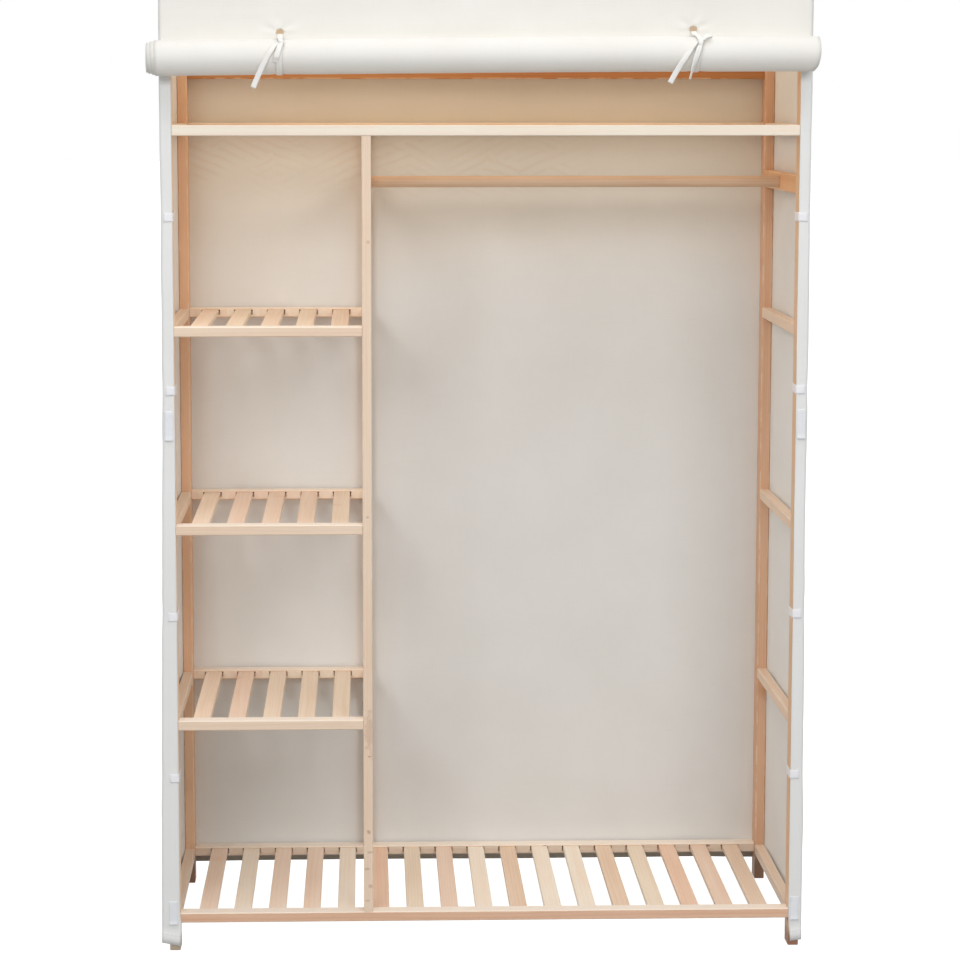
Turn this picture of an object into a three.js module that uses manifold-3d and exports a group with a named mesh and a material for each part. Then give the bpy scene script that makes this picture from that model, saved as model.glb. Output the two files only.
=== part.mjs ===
// Portable wardrobe: a dowelled pine frame under a cloth cover, its front door rolled up and tied.
// Millimetres. X runs to the right, Y to the back and Z up. The origin is on the floor, in the
// middle of the wardrobe's outline.

import * as THREE from 'three';
import { mergeVertices } from 'three/addons/utils/BufferGeometryUtils.js';
import Module from 'manifold-3d';

const wasm = await Module();
wasm.setup();

// Layout of the frame
const innerWidth = 1060;         // clear width between the left and the right posts
const frameDepth = 440;          // front face of the front posts to back face of the back posts
const frameHeight = 1767.5;      // top of the posts and of the top rails above the floor
const baseLevel = 66;            // top of the base rails above the floor
const leftBayWidth = 319;        // clear width of the bay with the shelves
const midRailRise = 97;          // top of the back middle rail above the crossbars' tops
const rodDrop = 101.7;           // centre of the hanging rod below the crossbars' tops

// Timber sections
const postWidth = 18;
const postDepth = 38;
const railHeight = 17;
const railDepth = 28;
const crossbarHeight = 18;
const rungHeight = 19;
const dividerWidth = 16;
const dividerDepth = 28;
const supportHeight = 31;
const edgeEase = 1.5;            // chamfer along every long edge

// Dowelled joints between the timbers
const timberGap = 0.3;           // between two timbers, and round a peg or a slat end
const pegRadius = 4;
const pegLength = 8;
const pegSides = 8;

// Slats, let into mortises in the rails
const slatWidth = 30;
const slatThickness = 9;
const slatDrop = 3;              // slats' tops below the rails' tops
const slatTenon = 8;             // length of a slat inside each rail
const slatEase = 1;
const mortiseEase = 2;           // a mortise is this much longer than the slat at each end
const glueLap = 1;               // a glued slat's end meets its rail over this length
const baseSlatCount = 17;
const baseSlatMargin = 31.5;     // from a post to the nearest slat of the base
const shelfSlatCount = 5;
const shelfSlatMargin = 24;      // from a post or the divider to the nearest slat of a shelf

// Hanging rod
const rodRadius = 10;
const rodFit = 0.3;              // radial play of the rod in its sockets
const rodSocketDepth = 10;
const rodEndPlay = 0.5;
const rodSides = 32;

// Cloth cover
const clothThickness = 1.2;
const clothGap = 0.3;            // from the cloth to what it lies on
const stripWidth = 19.5;         // front edge of a side panel, folded over its front post
const frontHem = 8;              // lowest edge of the cover above the floor at the front
const backHem = 31;              // and at the back

// Rolled-up door
const rollRadius = 32.5;
const rollRise = 119.3;          // centre of the roll above the crossbars' tops
const rollOverhang = 11;         // past the cover at each side
const rollCore = 4;              // radius at which the winding begins
const windGap = 1;               // between two turns of the winding
const stepsPerTurn = 20;

// Eyelets in the header and the ties through them
const eyeletInset = 203;         // from a side of the cover to its eyelet
const eyeletRise = 10;           // eyelets' centres above the top of the roll
const eyeletWidth = 14;
const eyeletHeight = 11.5;
const eyeletSides = 16;
const tapeWidth = 9.5;
const tapeThickness = 1.2;
const tapeGap = 0.3;             // from the tape to the cloth that it holds
const knotWidth = 14;
const knotDepth = 9;
const knotHeight = 11;
const knotSides = 12;
const knotRings = 8;
const knotShare = 0.3;           // place of the knot between its eyelet and the roll
const tapeTurnSteps = 28;        // steps of a tape round the whole roll
const tapeLeave = 11;            // a tape leaves the roll this far below its centre
const leftLongDrop = 94;         // tip of the left tie's long tail below the eyelet
const leftLongDrift = 44;        // and how far it hangs to the left
const leftShortDrop = 50;
const leftShortDrift = 12;
const rightLongDrop = 90;
const rightLongDrift = 46;
const rightShortDrop = 85;
const rightShortDrift = 19;

// Heights of the six levels, each the top of its rails and rungs
const levelNames = ['base', 'lower', 'middle', 'upper', 'cross', 'top'];
const levelPitch = (frameHeight - baseLevel) / (levelNames.length - 1);
const levels = {};
levelNames.forEach((name, index) => {
  levels[name] = baseLevel + index * levelPitch;
});

// Faces of the frame that the pieces meet, measured from the frame's middle
const postInner = innerWidth / 2;
const postOuter = postInner + postWidth;
const frameFace = frameDepth / 2;
const postBack = frameFace - postDepth;
const railBack = frameFace - railDepth;
const dividerBack = frameFace - dividerDepth;
const dividerLeft = leftBayWidth - postInner;
const dividerRight = dividerLeft + dividerWidth;
const crossbarBottom = levels.cross - crossbarHeight;
const rodHeight = levels.cross - rodDrop;
const midRailTop = levels.cross + midRailRise;

// Layers of cloth in front of the frame, from the posts outwards
const coverSide = postOuter + clothGap + clothThickness;
const coverBack = frameFace + clothGap + clothThickness;
const stripFront = -coverBack;
const headerBack = stripFront - clothGap;
const headerFront = headerBack - clothThickness;
const rollY = headerFront - clothGap - rollRadius;
const rollZ = levels.cross + rollRise;
const rollEnd = coverSide + rollOverhang;
const eyeletX = coverSide - eyeletInset;
const eyeletZ = rollZ + rollRadius + eyeletRise;
const tapePath = rollRadius + tapeGap + tapeThickness / 2;
const tailPath = tapePath + tapeThickness + tapeGap;
const tailFront = rollY - tailPath - tapeThickness / 2;

// Rotations that lay a shape drawn in X and Y, and extruded along Z, along another axis
const X = new THREE.Vector3(1, 0, 0);
const Y = new THREE.Vector3(0, 1, 0);
const Z = new THREE.Vector3(0, 0, 1);
const extrudeAlong = {
  x: new THREE.Matrix4().makeBasis(Y, Z, X),
  y: new THREE.Matrix4().makeBasis(Z, X, Y),
  z: new THREE.Matrix4(),
};
const sectionAxes = { x: ['y', 'z'], y: ['z', 'x'], z: ['x', 'y'] };

const wardrobe = new THREE.Group();

// A closed geometry as a solid that can be cut and joined
function toSolid(geometry) {
  const bare = geometry.clone();
  bare.deleteAttribute('normal');
  bare.deleteAttribute('uv');
  const merged = mergeVertices(bare);
  const vertProperties = new Float32Array(merged.attributes.position.array);
  const triVerts = new Uint32Array(merged.index.array);
  return new wasm.Manifold(new wasm.Mesh({ numProp: 3, vertProperties, triVerts }));
}

// A solid back as a geometry
function toGeometry(solid) {
  const mesh = solid.getMesh();
  const geometry = new THREE.BufferGeometry();
  geometry.setAttribute('position', new THREE.BufferAttribute(mesh.vertProperties, 3));
  geometry.setIndex(new THREE.BufferAttribute(mesh.triVerts, 1));
  const flat = geometry.toNonIndexed();
  flat.computeVertexNormals();
  return flat;
}

function addPiece(name, solid, finish) {
  const mesh = new THREE.Mesh(toGeometry(solid), new THREE.MeshStandardMaterial(finish));
  mesh.name = name;
  wardrobe.add(mesh);
}

const pine = { color: 0xe6c4a2, roughness: 0.6, metalness: 0 };
const canvas = { color: 0xeeeae0, roughness: 0.9, metalness: 0 };
const tape = { color: 0xf4f2ec, roughness: 0.85, metalness: 0 };

function extrude(shape, length, curveSegments) {
  return new THREE.ExtrudeGeometry(shape, { depth: length, bevelEnabled: false, curveSegments });
}

// A rectangle with its corners cut off, its low corner at zero
function easedRectangle(width, height, ease) {
  const shape = new THREE.Shape();
  shape.moveTo(ease, 0);
  shape.lineTo(width - ease, 0);
  shape.lineTo(width, ease);
  shape.lineTo(width, height - ease);
  shape.lineTo(width - ease, height);
  shape.lineTo(ease, height);
  shape.lineTo(0, height - ease);
  shape.lineTo(0, ease);
  return shape;
}

// A bar between two opposite corners, with its long edges eased
function bar(along, low, high, ease) {
  const [first, second] = sectionAxes[along];
  const section = easedRectangle(high[first] - low[first], high[second] - low[second], ease);
  const geometry = extrude(section, high[along] - low[along]);
  geometry.applyMatrix4(extrudeAlong[along]);
  geometry.translate(low.x, low.y, low.z);
  return toSolid(geometry);
}

// A round bar from a point along an axis
function roundBar(along, start, length, radius, sides) {
  const section = new THREE.Shape();
  for (let side = 0; side < sides; side += 1) {
    const angle = (2 * Math.PI * side) / sides;
    const corner = new THREE.Vector2(radius * Math.cos(angle), radius * Math.sin(angle));
    if (side === 0) {
      section.moveTo(corner.x, corner.y);
    } else {
      section.lineTo(corner.x, corner.y);
    }
  }
  const geometry = extrude(section, length);
  geometry.applyMatrix4(extrudeAlong[along]);
  geometry.translate(start.x, start.y, start.z);
  return toSolid(geometry);
}

// A hole that a round bar of this radius fits with this much play all round
function roundHole(along, start, length, radius, play, sides) {
  const cornerRadius = (radius + play) / Math.cos(Math.PI / sides);
  return roundBar(along, start, length, cornerRadius, sides);
}

// Two pegs, one at each end of a bar that lies between two faces
function pegsOf(along, low, high) {
  const [first, second] = sectionAxes[along];
  const pegs = [];
  for (const atHighEnd of [false, true]) {
    const start = { ...low };
    start[first] = (low[first] + high[first]) / 2;
    start[second] = (low[second] + high[second]) / 2;
    start[along] = atHighEnd ? high[along] - pegLength : low[along] - pegLength;
    pegs.push({ along, start });
  }
  return pegs;
}

// All timbers are noted first, because each is bored for the pegs of its neighbours
const timbers = [];

function shorten(along, low, high) {
  const start = { ...low };
  const end = { ...high };
  start[along] += timberGap;
  end[along] -= timberGap;
  return [start, end];
}

// A timber that stands by itself, with no pegs of its own
function noteWhole(name, along, low, high) {
  timbers.push({ name, bodies: [bar(along, low, high, edgeEase)], pegs: [], cuts: [], glued: [] });
}

// Bars of one piece, each pegged between the two faces that low and high name, with what is glued in
function notePegged(name, members, cuts = [], glued = []) {
  const bodies = [];
  const pegs = [];
  for (const { along, low, high } of members) {
    const [start, end] = shorten(along, low, high);
    bodies.push(bar(along, start, end, edgeEase));
    pegs.push(...pegsOf(along, start, end));
  }
  timbers.push({ name, bodies, pegs, cuts, glued });
}

function point(x, y, z) {
  return { x, y, z };
}

// Slats of one row between the front and the back rail, and the mortises that they end in
function slatRow(level, from, to, count, margin, endGap) {
  const pitch = (to - from - 2 * margin - slatWidth) / (count - 1);
  const reach = railBack + slatTenon;
  const top = level - slatDrop;
  const slats = [];
  const mortises = [];
  for (let index = 0; index < count; index += 1) {
    const left = from + margin + index * pitch;
    const right = left + slatWidth;
    const slatLow = point(left, -reach, top - slatThickness);
    slats.push(bar('y', slatLow, point(right, reach, top), slatEase));
    for (const side of [-1, 1]) {
      const mouth = side * (railBack - timberGap);
      const end = side * (reach + endGap);
      const low = point(left - mortiseEase, Math.min(mouth, end), top - slatThickness - timberGap);
      const high = point(right + mortiseEase, Math.max(mouth, end), top + timberGap);
      mortises.push(bar('y', low, high, slatEase));
    }
  }
  return { slats, mortises };
}

// Posts, and the rungs between them on each side
for (const [sideName, side] of [['left', -1], ['right', 1]]) {
  const inner = side * postInner;
  const outer = side * postOuter;
  for (const [endName, end] of [['front', -1], ['back', 1]]) {
    const low = point(Math.min(inner, outer), Math.min(end * frameFace, end * postBack), 0);
    const high = point(Math.max(inner, outer), Math.max(end * frameFace, end * postBack), levels.top);
    noteWhole(`${endName}_${sideName}_post`, 'z', low, high);
  }
  for (const name of levelNames) {
    const low = point(Math.min(inner, outer), -postBack, levels[name] - rungHeight);
    const high = point(Math.max(inner, outer), postBack, levels[name]);
    notePegged(`${sideName}_rung_${name}`, [{ along: 'y', low, high }]);
  }
}

// A rail between the left and the right posts, at the front (-1) or the back (1)
function crossRail(end, top, height) {
  const low = point(-postInner, Math.min(end * frameFace, end * railBack), top - height);
  const high = point(postInner, Math.max(end * frameFace, end * railBack), top);
  return { along: 'x', low, high };
}

const baseRow = slatRow(levels.base, -postInner, postInner, baseSlatCount, baseSlatMargin, timberGap);
notePegged('base_front_rail', [crossRail(-1, levels.base, railHeight)], baseRow.mortises);
notePegged('base_back_rail', [crossRail(1, levels.base, railHeight)], baseRow.mortises);
notePegged('front_crossbar', [crossRail(-1, levels.cross, crossbarHeight)]);
notePegged('back_crossbar', [crossRail(1, levels.cross, crossbarHeight)]);
notePegged('back_mid_rail', [crossRail(1, midRailTop, railHeight)]);
notePegged('top_front_rail', [crossRail(-1, levels.top, railHeight)]);
notePegged('top_back_rail', [crossRail(1, levels.top, railHeight)]);

// Divider between the bays, with a rung at each shelf
for (const [endName, end] of [['front', -1], ['back', 1]]) {
  const near = Math.min(end * frameFace, end * dividerBack);
  const far = Math.max(end * frameFace, end * dividerBack);
  const low = point(dividerLeft, near, levels.base);
  const high = point(dividerRight, far, crossbarBottom);
  notePegged(`divider_${endName}_post`, [{ along: 'z', low, high }]);
}
for (const name of ['lower', 'middle', 'upper']) {
  const low = point(dividerLeft, -dividerBack, levels[name] - rungHeight);
  const high = point(dividerRight, dividerBack, levels[name]);
  notePegged(`divider_rung_${name}`, [{ along: 'y', low, high }]);
}

// Shelves of the left bay, each two rails with their slats glued in
for (const name of ['lower', 'middle', 'upper']) {
  const rails = [];
  for (const end of [-1, 1]) {
    const near = Math.min(end * frameFace, end * railBack);
    const far = Math.max(end * frameFace, end * railBack);
    const low = point(-postInner, near, levels[name] - railHeight);
    const high = point(dividerLeft, far, levels[name]);
    rails.push({ along: 'x', low, high });
  }
  const row = slatRow(levels[name], -postInner, dividerLeft, shelfSlatCount, shelfSlatMargin, -glueLap);
  notePegged(`${name}_shelf`, rails, row.mortises, row.slats);
}

// Boards that carry the hanging rod in blind sockets
const rodLeft = dividerRight - rodSocketDepth;
const rodRight = postInner + rodSocketDepth;
const rodBoreStart = point(rodLeft, 0, rodHeight);
const rodBore = roundHole('x', rodBoreStart, rodRight - rodLeft, rodRadius, rodFit, rodSides);

function supportBoard(name, innerX, outerX, reach) {
  const low = point(innerX, -reach, rodHeight - supportHeight / 2);
  const high = point(outerX, reach, rodHeight + supportHeight / 2);
  notePegged(name, [{ along: 'y', low, high }], [rodBore]);
}
supportBoard('left_rod_support', dividerLeft, dividerRight, dividerBack);
supportBoard('right_rod_support', postInner, postOuter, postBack);

// Cut, bore and peg the timbers
const sockets = timbers.map((timber) => timber.pegs.map(({ along, start }) => {
  const mouth = { ...start };
  mouth[along] -= timberGap;
  return roundHole(along, mouth, 2 * pegLength + 2 * timberGap, pegRadius, timberGap, pegSides);
}));

timbers.forEach((timber, index) => {
  let solid = timber.bodies[0];
  for (const body of timber.bodies.slice(1)) {
    solid = solid.add(body);
  }
  for (const cut of timber.cuts) {
    solid = solid.subtract(cut);
  }
  sockets.forEach((holes, owner) => {
    if (owner !== index) {
      for (const hole of holes) {
        solid = solid.subtract(hole);
      }
    }
  });
  for (const piece of timber.glued) {
    solid = solid.add(piece);
  }
  for (const { along, start } of timber.pegs) {
    solid = solid.add(roundBar(along, start, 2 * pegLength, pegRadius, pegSides));
  }
  addPiece(timber.name, solid, pine);
});

baseRow.slats.forEach((slat, index) => {
  addPiece(`base_slat_${String(index + 1).padStart(2, '0')}`, slat, pine);
});

const rodStart = point(rodLeft + rodEndPlay, 0, rodHeight);
const rodLength = rodRight - rodLeft - 2 * rodEndPlay;
addPiece('hanging_rod', roundBar('x', rodStart, rodLength, rodRadius, rodSides), pine);

// A flat panel of cloth between two opposite corners
function plate(low, high) {
  const geometry = new THREE.BoxGeometry(high.x - low.x, high.y - low.y, high.z - low.z);
  geometry.translate((low.x + high.x) / 2, (low.y + high.y) / 2, (low.z + high.z) / 2);
  return toSolid(geometry);
}

// Back and roof panels
addPiece('cover_back', plate(
  point(-coverSide, frameFace + clothGap, backHem),
  point(coverSide, coverBack, levels.top),
), canvas);
addPiece('cover_roof', plate(
  point(-coverSide, headerFront, levels.top + clothGap),
  point(coverSide, coverBack, levels.top + clothGap + clothThickness),
), canvas);

// Side panels, whose hem rises to the back and whose front edge is folded over the front post
function sidePanel(side) {
  const outline = new THREE.Shape();
  outline.moveTo(stripFront, frontHem);
  outline.lineTo(frameFace, backHem);
  outline.lineTo(frameFace, levels.top);
  outline.lineTo(stripFront, levels.top);
  const wall = extrude(outline, clothThickness);
  wall.applyMatrix4(extrudeAlong.x);
  wall.translate(side > 0 ? coverSide - clothThickness : -coverSide, 0, 0);
  const edge = side * (coverSide - stripWidth);
  const strip = plate(
    point(Math.min(edge, side * coverSide), stripFront, frontHem),
    point(Math.max(edge, side * coverSide), stripFront + clothThickness, levels.top),
  );
  return toSolid(wall).add(strip);
}
addPiece('cover_left_side', sidePanel(-1), canvas);
addPiece('cover_right_side', sidePanel(1), canvas);

// Header above the roll, with an eyelet for each tie
function headerPanel() {
  const outline = new THREE.Shape();
  outline.moveTo(rollZ, -coverSide);
  outline.lineTo(levels.top, -coverSide);
  outline.lineTo(levels.top, coverSide);
  outline.lineTo(rollZ, coverSide);
  for (const side of [-1, 1]) {
    const eyelet = new THREE.Path();
    eyelet.absellipse(eyeletZ, side * eyeletX, eyeletHeight / 2, eyeletWidth / 2, 0, 2 * Math.PI, true);
    outline.holes.push(eyelet);
  }
  const geometry = extrude(outline, clothThickness, eyeletSides / 2);
  geometry.applyMatrix4(extrudeAlong.y);
  geometry.translate(0, headerFront, 0);
  return toSolid(geometry);
}
addPiece('cover_header', headerPanel(), canvas);

// Door, wound up from its lower hem: down behind the roll, under it and up its front
function doorRoll() {
  const outerPath = rollRadius - clothThickness / 2;
  const turnPitch = clothThickness + windGap;
  const turns = (outerPath - rollCore) / turnPitch;
  const steps = Math.round(turns * stepsPerTurn);
  const outside = [];
  const inside = [];
  for (let step = 0; step <= steps; step += 1) {
    const turned = step / stepsPerTurn;
    const angle = -2 * Math.PI * turned;
    const radius = outerPath - turned * turnPitch;
    const direction = new THREE.Vector2(Math.cos(angle), Math.sin(angle));
    outside.push(direction.clone().multiplyScalar(radius + clothThickness / 2));
    inside.push(direction.clone().multiplyScalar(radius - clothThickness / 2));
  }
  let leastGap = Infinity;
  for (let step = 0; step + stepsPerTurn <= steps; step += 1) {
    leastGap = Math.min(leastGap, inside[step].distanceTo(outside[step + stepsPerTurn]));
  }
  console.log(`door roll: ${turns.toFixed(1)} turns, least gap ${leastGap.toFixed(2)} mm`);
  const section = new THREE.Shape([...outside, ...inside.reverse()]);
  const geometry = extrude(section, 2 * rollEnd);
  geometry.applyMatrix4(extrudeAlong.x);
  geometry.translate(-rollEnd, rollY, rollZ);
  return toSolid(geometry);
}
addPiece('door_roll', doorRoll(), canvas);

function onCircle(radius, angle) {
  return new THREE.Vector2(rollY + radius * Math.cos(angle), rollZ + radius * Math.sin(angle));
}

// Points in Y and Z on a circle round the roll's axis, from one angle to another
function arc(radius, from, to) {
  const steps = Math.max(1, Math.round((tapeTurnSteps * Math.abs(to - from)) / (2 * Math.PI)));
  const points = [];
  for (let step = 0; step <= steps; step += 1) {
    points.push(onCircle(radius, from + ((to - from) * step) / steps));
  }
  return points;
}

// Angle at which a tape from a point above comes to lie on a circle round the roll
function touchAngle(start, radius) {
  const away = new THREE.Vector2(start.x - rollY, start.y - rollZ);
  return away.angle() + Math.acos(radius / away.length());
}

// Both edges of a tape along a path in Y and Z
function tapeEdges(path, closed) {
  const near = [];
  const far = [];
  const count = path.length;
  path.forEach((here, index) => {
    const before = closed ? path[(index + count - 1) % count] : path[Math.max(index - 1, 0)];
    const after = closed ? path[(index + 1) % count] : path[Math.min(index + 1, count - 1)];
    const arriving = here.clone().sub(before).normalize();
    const leaving = after.clone().sub(here).normalize();
    const along = arriving.clone().add(leaving).normalize();
    const reach = tapeThickness / 2 / Math.max(along.dot(arriving), along.dot(leaving));
    const across = new THREE.Vector2(-along.y, along.x).multiplyScalar(reach);
    near.push(here.clone().add(across));
    far.push(here.clone().sub(across));
  });
  return { near, far };
}

function extrudeTape(section) {
  const geometry = extrude(section, tapeWidth);
  geometry.applyMatrix4(extrudeAlong.x);
  geometry.translate(-tapeWidth / 2, 0, 0);
  return geometry;
}

// A tie: a loop through its eyelet and round the roll, a knot, and two tails in front of the roll
function tie(tails) {
  const behind = headerBack + tapeGap + tapeThickness / 2;
  const front = headerFront - tapeGap - tapeThickness / 2;
  const eyeletOut = new THREE.Vector2(front, eyeletZ);
  const landing = touchAngle(eyeletOut, tapePath);
  const leaving = 2 * Math.PI - Math.asin(tapeLeave / tapePath);
  const loopPath = [
    new THREE.Vector2(behind, rollZ - tapeLeave / 2),
    new THREE.Vector2(behind, eyeletZ),
    eyeletOut,
    ...arc(tapePath, landing, leaving),
  ];
  const { near, far } = tapeEdges(loopPath, true);
  const loop = new THREE.Shape(far);
  loop.holes.push(new THREE.Path(near));
  let solid = toSolid(extrudeTape(loop));

  const knotPlace = eyeletOut.clone().lerp(onCircle(tapePath, landing), knotShare);
  const knot = new THREE.SphereGeometry(1, knotSides, knotRings);
  knot.scale(knotWidth / 2, knotDepth / 2, knotHeight / 2);
  knot.translate(0, knotPlace.x, knotPlace.y);
  solid = solid.add(toSolid(knot));

  for (const { drop, drift } of tails) {
    const tip = new THREE.Vector2(rollY - tailPath, eyeletZ - drop);
    const path = [knotPlace, ...arc(tailPath, touchAngle(knotPlace, tailPath), Math.PI), tip];
    const edges = tapeEdges(path, false);
    const tail = extrudeTape(new THREE.Shape([...edges.near, ...edges.far.reverse()]));
    tail.translate(0, 0, -knotPlace.y);
    tail.applyMatrix4(new THREE.Matrix4().makeShear(0, 0, 0, 0, drift / drop, 0));
    tail.translate(0, 0, knotPlace.y);
    solid = solid.add(toSolid(tail));
  }
  return solid;
}
addPiece('left_tie', tie([
  { drop: leftLongDrop, drift: leftLongDrift },
  { drop: leftShortDrop, drift: leftShortDrift },
]).translate([-eyeletX, 0, 0]), tape);
addPiece('right_tie', tie([
  { drop: rightLongDrop, drift: rightLongDrift },
  { drop: rightShortDrop, drift: rightShortDrift },
]).translate([eyeletX, 0, 0]), tape);

// The outline runs from the front of the ties to the back panel
wardrobe.position.y = -(tailFront + coverBack) / 2;

export default wardrobe;
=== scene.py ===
import math

import bmesh
import bpy
from mathutils import Matrix, Vector, noise

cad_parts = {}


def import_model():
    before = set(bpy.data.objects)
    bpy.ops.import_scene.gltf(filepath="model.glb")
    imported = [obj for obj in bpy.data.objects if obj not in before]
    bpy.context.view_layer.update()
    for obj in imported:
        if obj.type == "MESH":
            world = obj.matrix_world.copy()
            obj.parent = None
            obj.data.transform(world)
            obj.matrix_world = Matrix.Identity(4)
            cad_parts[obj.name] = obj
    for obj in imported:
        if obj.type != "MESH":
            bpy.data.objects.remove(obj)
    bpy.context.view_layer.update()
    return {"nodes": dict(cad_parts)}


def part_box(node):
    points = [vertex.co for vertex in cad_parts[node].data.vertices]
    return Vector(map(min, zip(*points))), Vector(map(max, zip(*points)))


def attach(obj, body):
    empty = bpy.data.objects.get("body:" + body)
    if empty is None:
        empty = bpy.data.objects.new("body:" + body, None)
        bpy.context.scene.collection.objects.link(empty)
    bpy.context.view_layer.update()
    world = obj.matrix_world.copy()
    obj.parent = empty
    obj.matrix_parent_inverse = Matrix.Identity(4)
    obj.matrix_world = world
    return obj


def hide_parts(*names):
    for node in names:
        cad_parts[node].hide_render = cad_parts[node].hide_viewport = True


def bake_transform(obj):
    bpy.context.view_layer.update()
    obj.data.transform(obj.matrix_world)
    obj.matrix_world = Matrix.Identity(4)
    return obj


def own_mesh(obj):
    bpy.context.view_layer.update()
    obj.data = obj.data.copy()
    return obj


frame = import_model()
scene = bpy.context.scene
noise.seed_set(1)               # so that the waver of the seams is the same in every run

# Camera
CAMERA_PLACE = (-0.2045, -4.691, 1.4694)
CAMERA_PITCH = 6.5              # degrees down
CAMERA_YAW = 1.592              # degrees to the right
CAMERA_LENS = 99.91             # millimetres
CAMERA_SHIFT = (0.042, -0.0799)

# Cloth
CLOTH = 0.0007                  # thickness of one layer
HEM_LAYERS = 2.0                # a hem is this many layers thick
HEM_HEIGHT = 0.018
HEM_STEP = 0.0004               # over which a hem thins to one layer
STITCH_LENGTH = 0.0034          # from one stitch to the next
STITCH_INSET = 0.002            # from the upper edge of a hem to its row of stitches
HEM_SHADE_FADE = 0.012               # over which the back hem's painted shade ends
SEAM_WAVER = 0.0003
PUCKER = 0.0016                 # how far the header puckers round an eyelet
PUCKER_RADIUS = 0.014           # where it puckers most
FOLD_RADIUS = 0.005             # of the side panels round the front posts
THREAD = 0.00085                # from one thread of the weave to the next
CREASE_PITCH = 0.017            # from one slanting crease of the back panel to the next
CREASE_SLOPE = 0.42             # rise of a crease over its run
CREASE_RELIEF = 3.0             # height of a crease, next to 1 for a thread of the weave
CREASE_TINT = 0.13              # share of the painted shade in the cloth's colour along a crease
CREASES_BOTTOM = (1.27, 1.34)   # heights over which the creases set in
CREASES_TOP = (1.385, 1.415)    # heights over which they end
CREASES_RIGHT = (0.10, 0.30)    # X over which they end to the right
WARM_SHADE_HEIGHTS = (1.08, 1.38)         # heights over which the back panel's inside is painted warmer: painted warm shade

# Rolled-up door
ROLL_CORE = 0.004               # radius of the hollow in its middle
ROLL_PLAY = 0.0009              # the roll lies this much inside its solid
ROLL_DROOP = 0.0077             # how much lower the roll hangs at its left end than near its right one
DROOP_END = 0.45                # X up to which it hangs down
ROLL_ENDS = {-1: 0.567, 1: 0.5527}      # how far the roll reaches to each side
TURN_STEPS = 30                 # points round one turn

# Ties
TAPE_WIDTH = 0.0100
TAPE = 0.0008                   # thickness

# Pine
TOP_LIGHT_SHARE = 0.95                 # how much lighter a rail's upper face is painted: painted light from above
UPPER_EDGE = (0.0016, 0.0006)   # below a rail's top, over which its upper face begins
RING_PITCH = 0.0036             # from one growth ring to the next
RING_SWAY = 0.011               # how far the rings wander
RING_BEND = 0.006               # how far a knot bends them
KNOT_CORE = (0.0028, 0.0052)    # from a knot's middle, over which its dark core ends
KNOT_HALO = (0.003, 0.026)      # the same for the darker wood round it
KNOT_CELLS = 11.0               # cells to the metre, in each of which a knot may lie
WORN_REACH = (0.0006, 0.0034)   # from an arris, over which its rubbed edge ends
SLAT_KNOTS = 0.10               # share of the cells that hold a knot
RAIL_KNOTS = 0.20
BOARD_KNOTS = 0.22
GROOVE_RADIUS = 0.0013          # of the painted shadow discs at the groove ends beside the slats
GROOVE_GAP = 0.0012             # from a slat's edge to the middle of its groove end
GROOVE_DROP = 0.0010            # from a slat's top down to it
GROOVE_LIFT = 0.00015           # how far it stands off the rail
BASE_SLATS = 17
SHELF_SLATS = 5
SLAT_WIDTH = 0.030
SLAT_DROP = 0.003               # slats' tops below the rails' tops
SHELF_SLAT_MARGIN = 0.024       # from a post to the nearest slat of a shelf

# Small parts on the front strips, as heights above the floor
TAB_HEIGHTS = (0.306, 0.589, 0.978, 1.272)
TAB_WIDTH = 0.0155
TAB = 0.0009                    # thickness
PATCH_HEIGHTS = (0.067, 0.918)
PATCH_TALL = (0.042, 0.051)
PATCH_WIDTH = 0.0150
LOOP_CELLS = 900                # tiny loops of the patches' felt to the metre
PATCH = 0.0008                  # thickness
SEAM_RADIUS = 0.0009
CLEARANCE = 0.0003              # between the timber and the cloth or tape on it
SEWN_GAP = 0.0001               # between the strips' cloth and what is sewn on it

# Light
WORLD_LIGHT = 0.50              # the white world as a light, next to 1 where the camera sees it
FLOOR_GREY = 0.45
FLOOR_GLOW = 0.90               # makes the floor white where the camera sees it


def srgb(red, green, blue):
    """A colour as a screen shows it, 0 to 255, in the linear values that a shader takes."""
    def linear(value):
        share = value / 255
        return share / 12.92 if share <= 0.04045 else ((share + 0.055) / 1.055) ** 2.4
    return (linear(red), linear(green), linear(blue), 1.0)


KNOT = srgb(150, 92, 56)
# Painted light on the upper faces of the rails
PAINTED_TOP_LIGHT = srgb(255, 243, 228)
WORN_EDGE = srgb(250, 236, 216)
GROOVE_SHADOW = srgb(74, 44, 26)
HEM_STITCH = srgb(214, 208, 196)
# Painted shade on the back hem below the base rail
HEM_PAINTED_SHADE = srgb(150, 130, 98)
# Painted shade along the creases of the back panel
CREASE_PAINTED_SHADE = srgb(206, 178, 140)

SIDES = {-1: "left", 1: "right"}

# Faces of the frame that the cloth meets
post_low, post_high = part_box("front_right_post")
back_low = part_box("back_right_post")[0]
side_low, side_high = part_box("cover_right_side")
header_low, header_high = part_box("cover_header")
roof_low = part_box("cover_roof")[0]
hem_low, hem_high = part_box("cover_back")
roll_low, roll_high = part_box("door_roll")
rod_low, rod_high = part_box("hanging_rod")

SHELF_SLAT_START = SHELF_SLAT_MARGIN - post_low.x
divider_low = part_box("divider_front_post")[0]
base_back_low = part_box("base_back_rail")[0]
SHELF_SLAT_END = divider_low.x - SHELF_SLAT_MARGIN - SLAT_WIDTH
SHELF_SLAT_PITCH = (SHELF_SLAT_END - SHELF_SLAT_START) / (SHELF_SLATS - 1)

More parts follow.
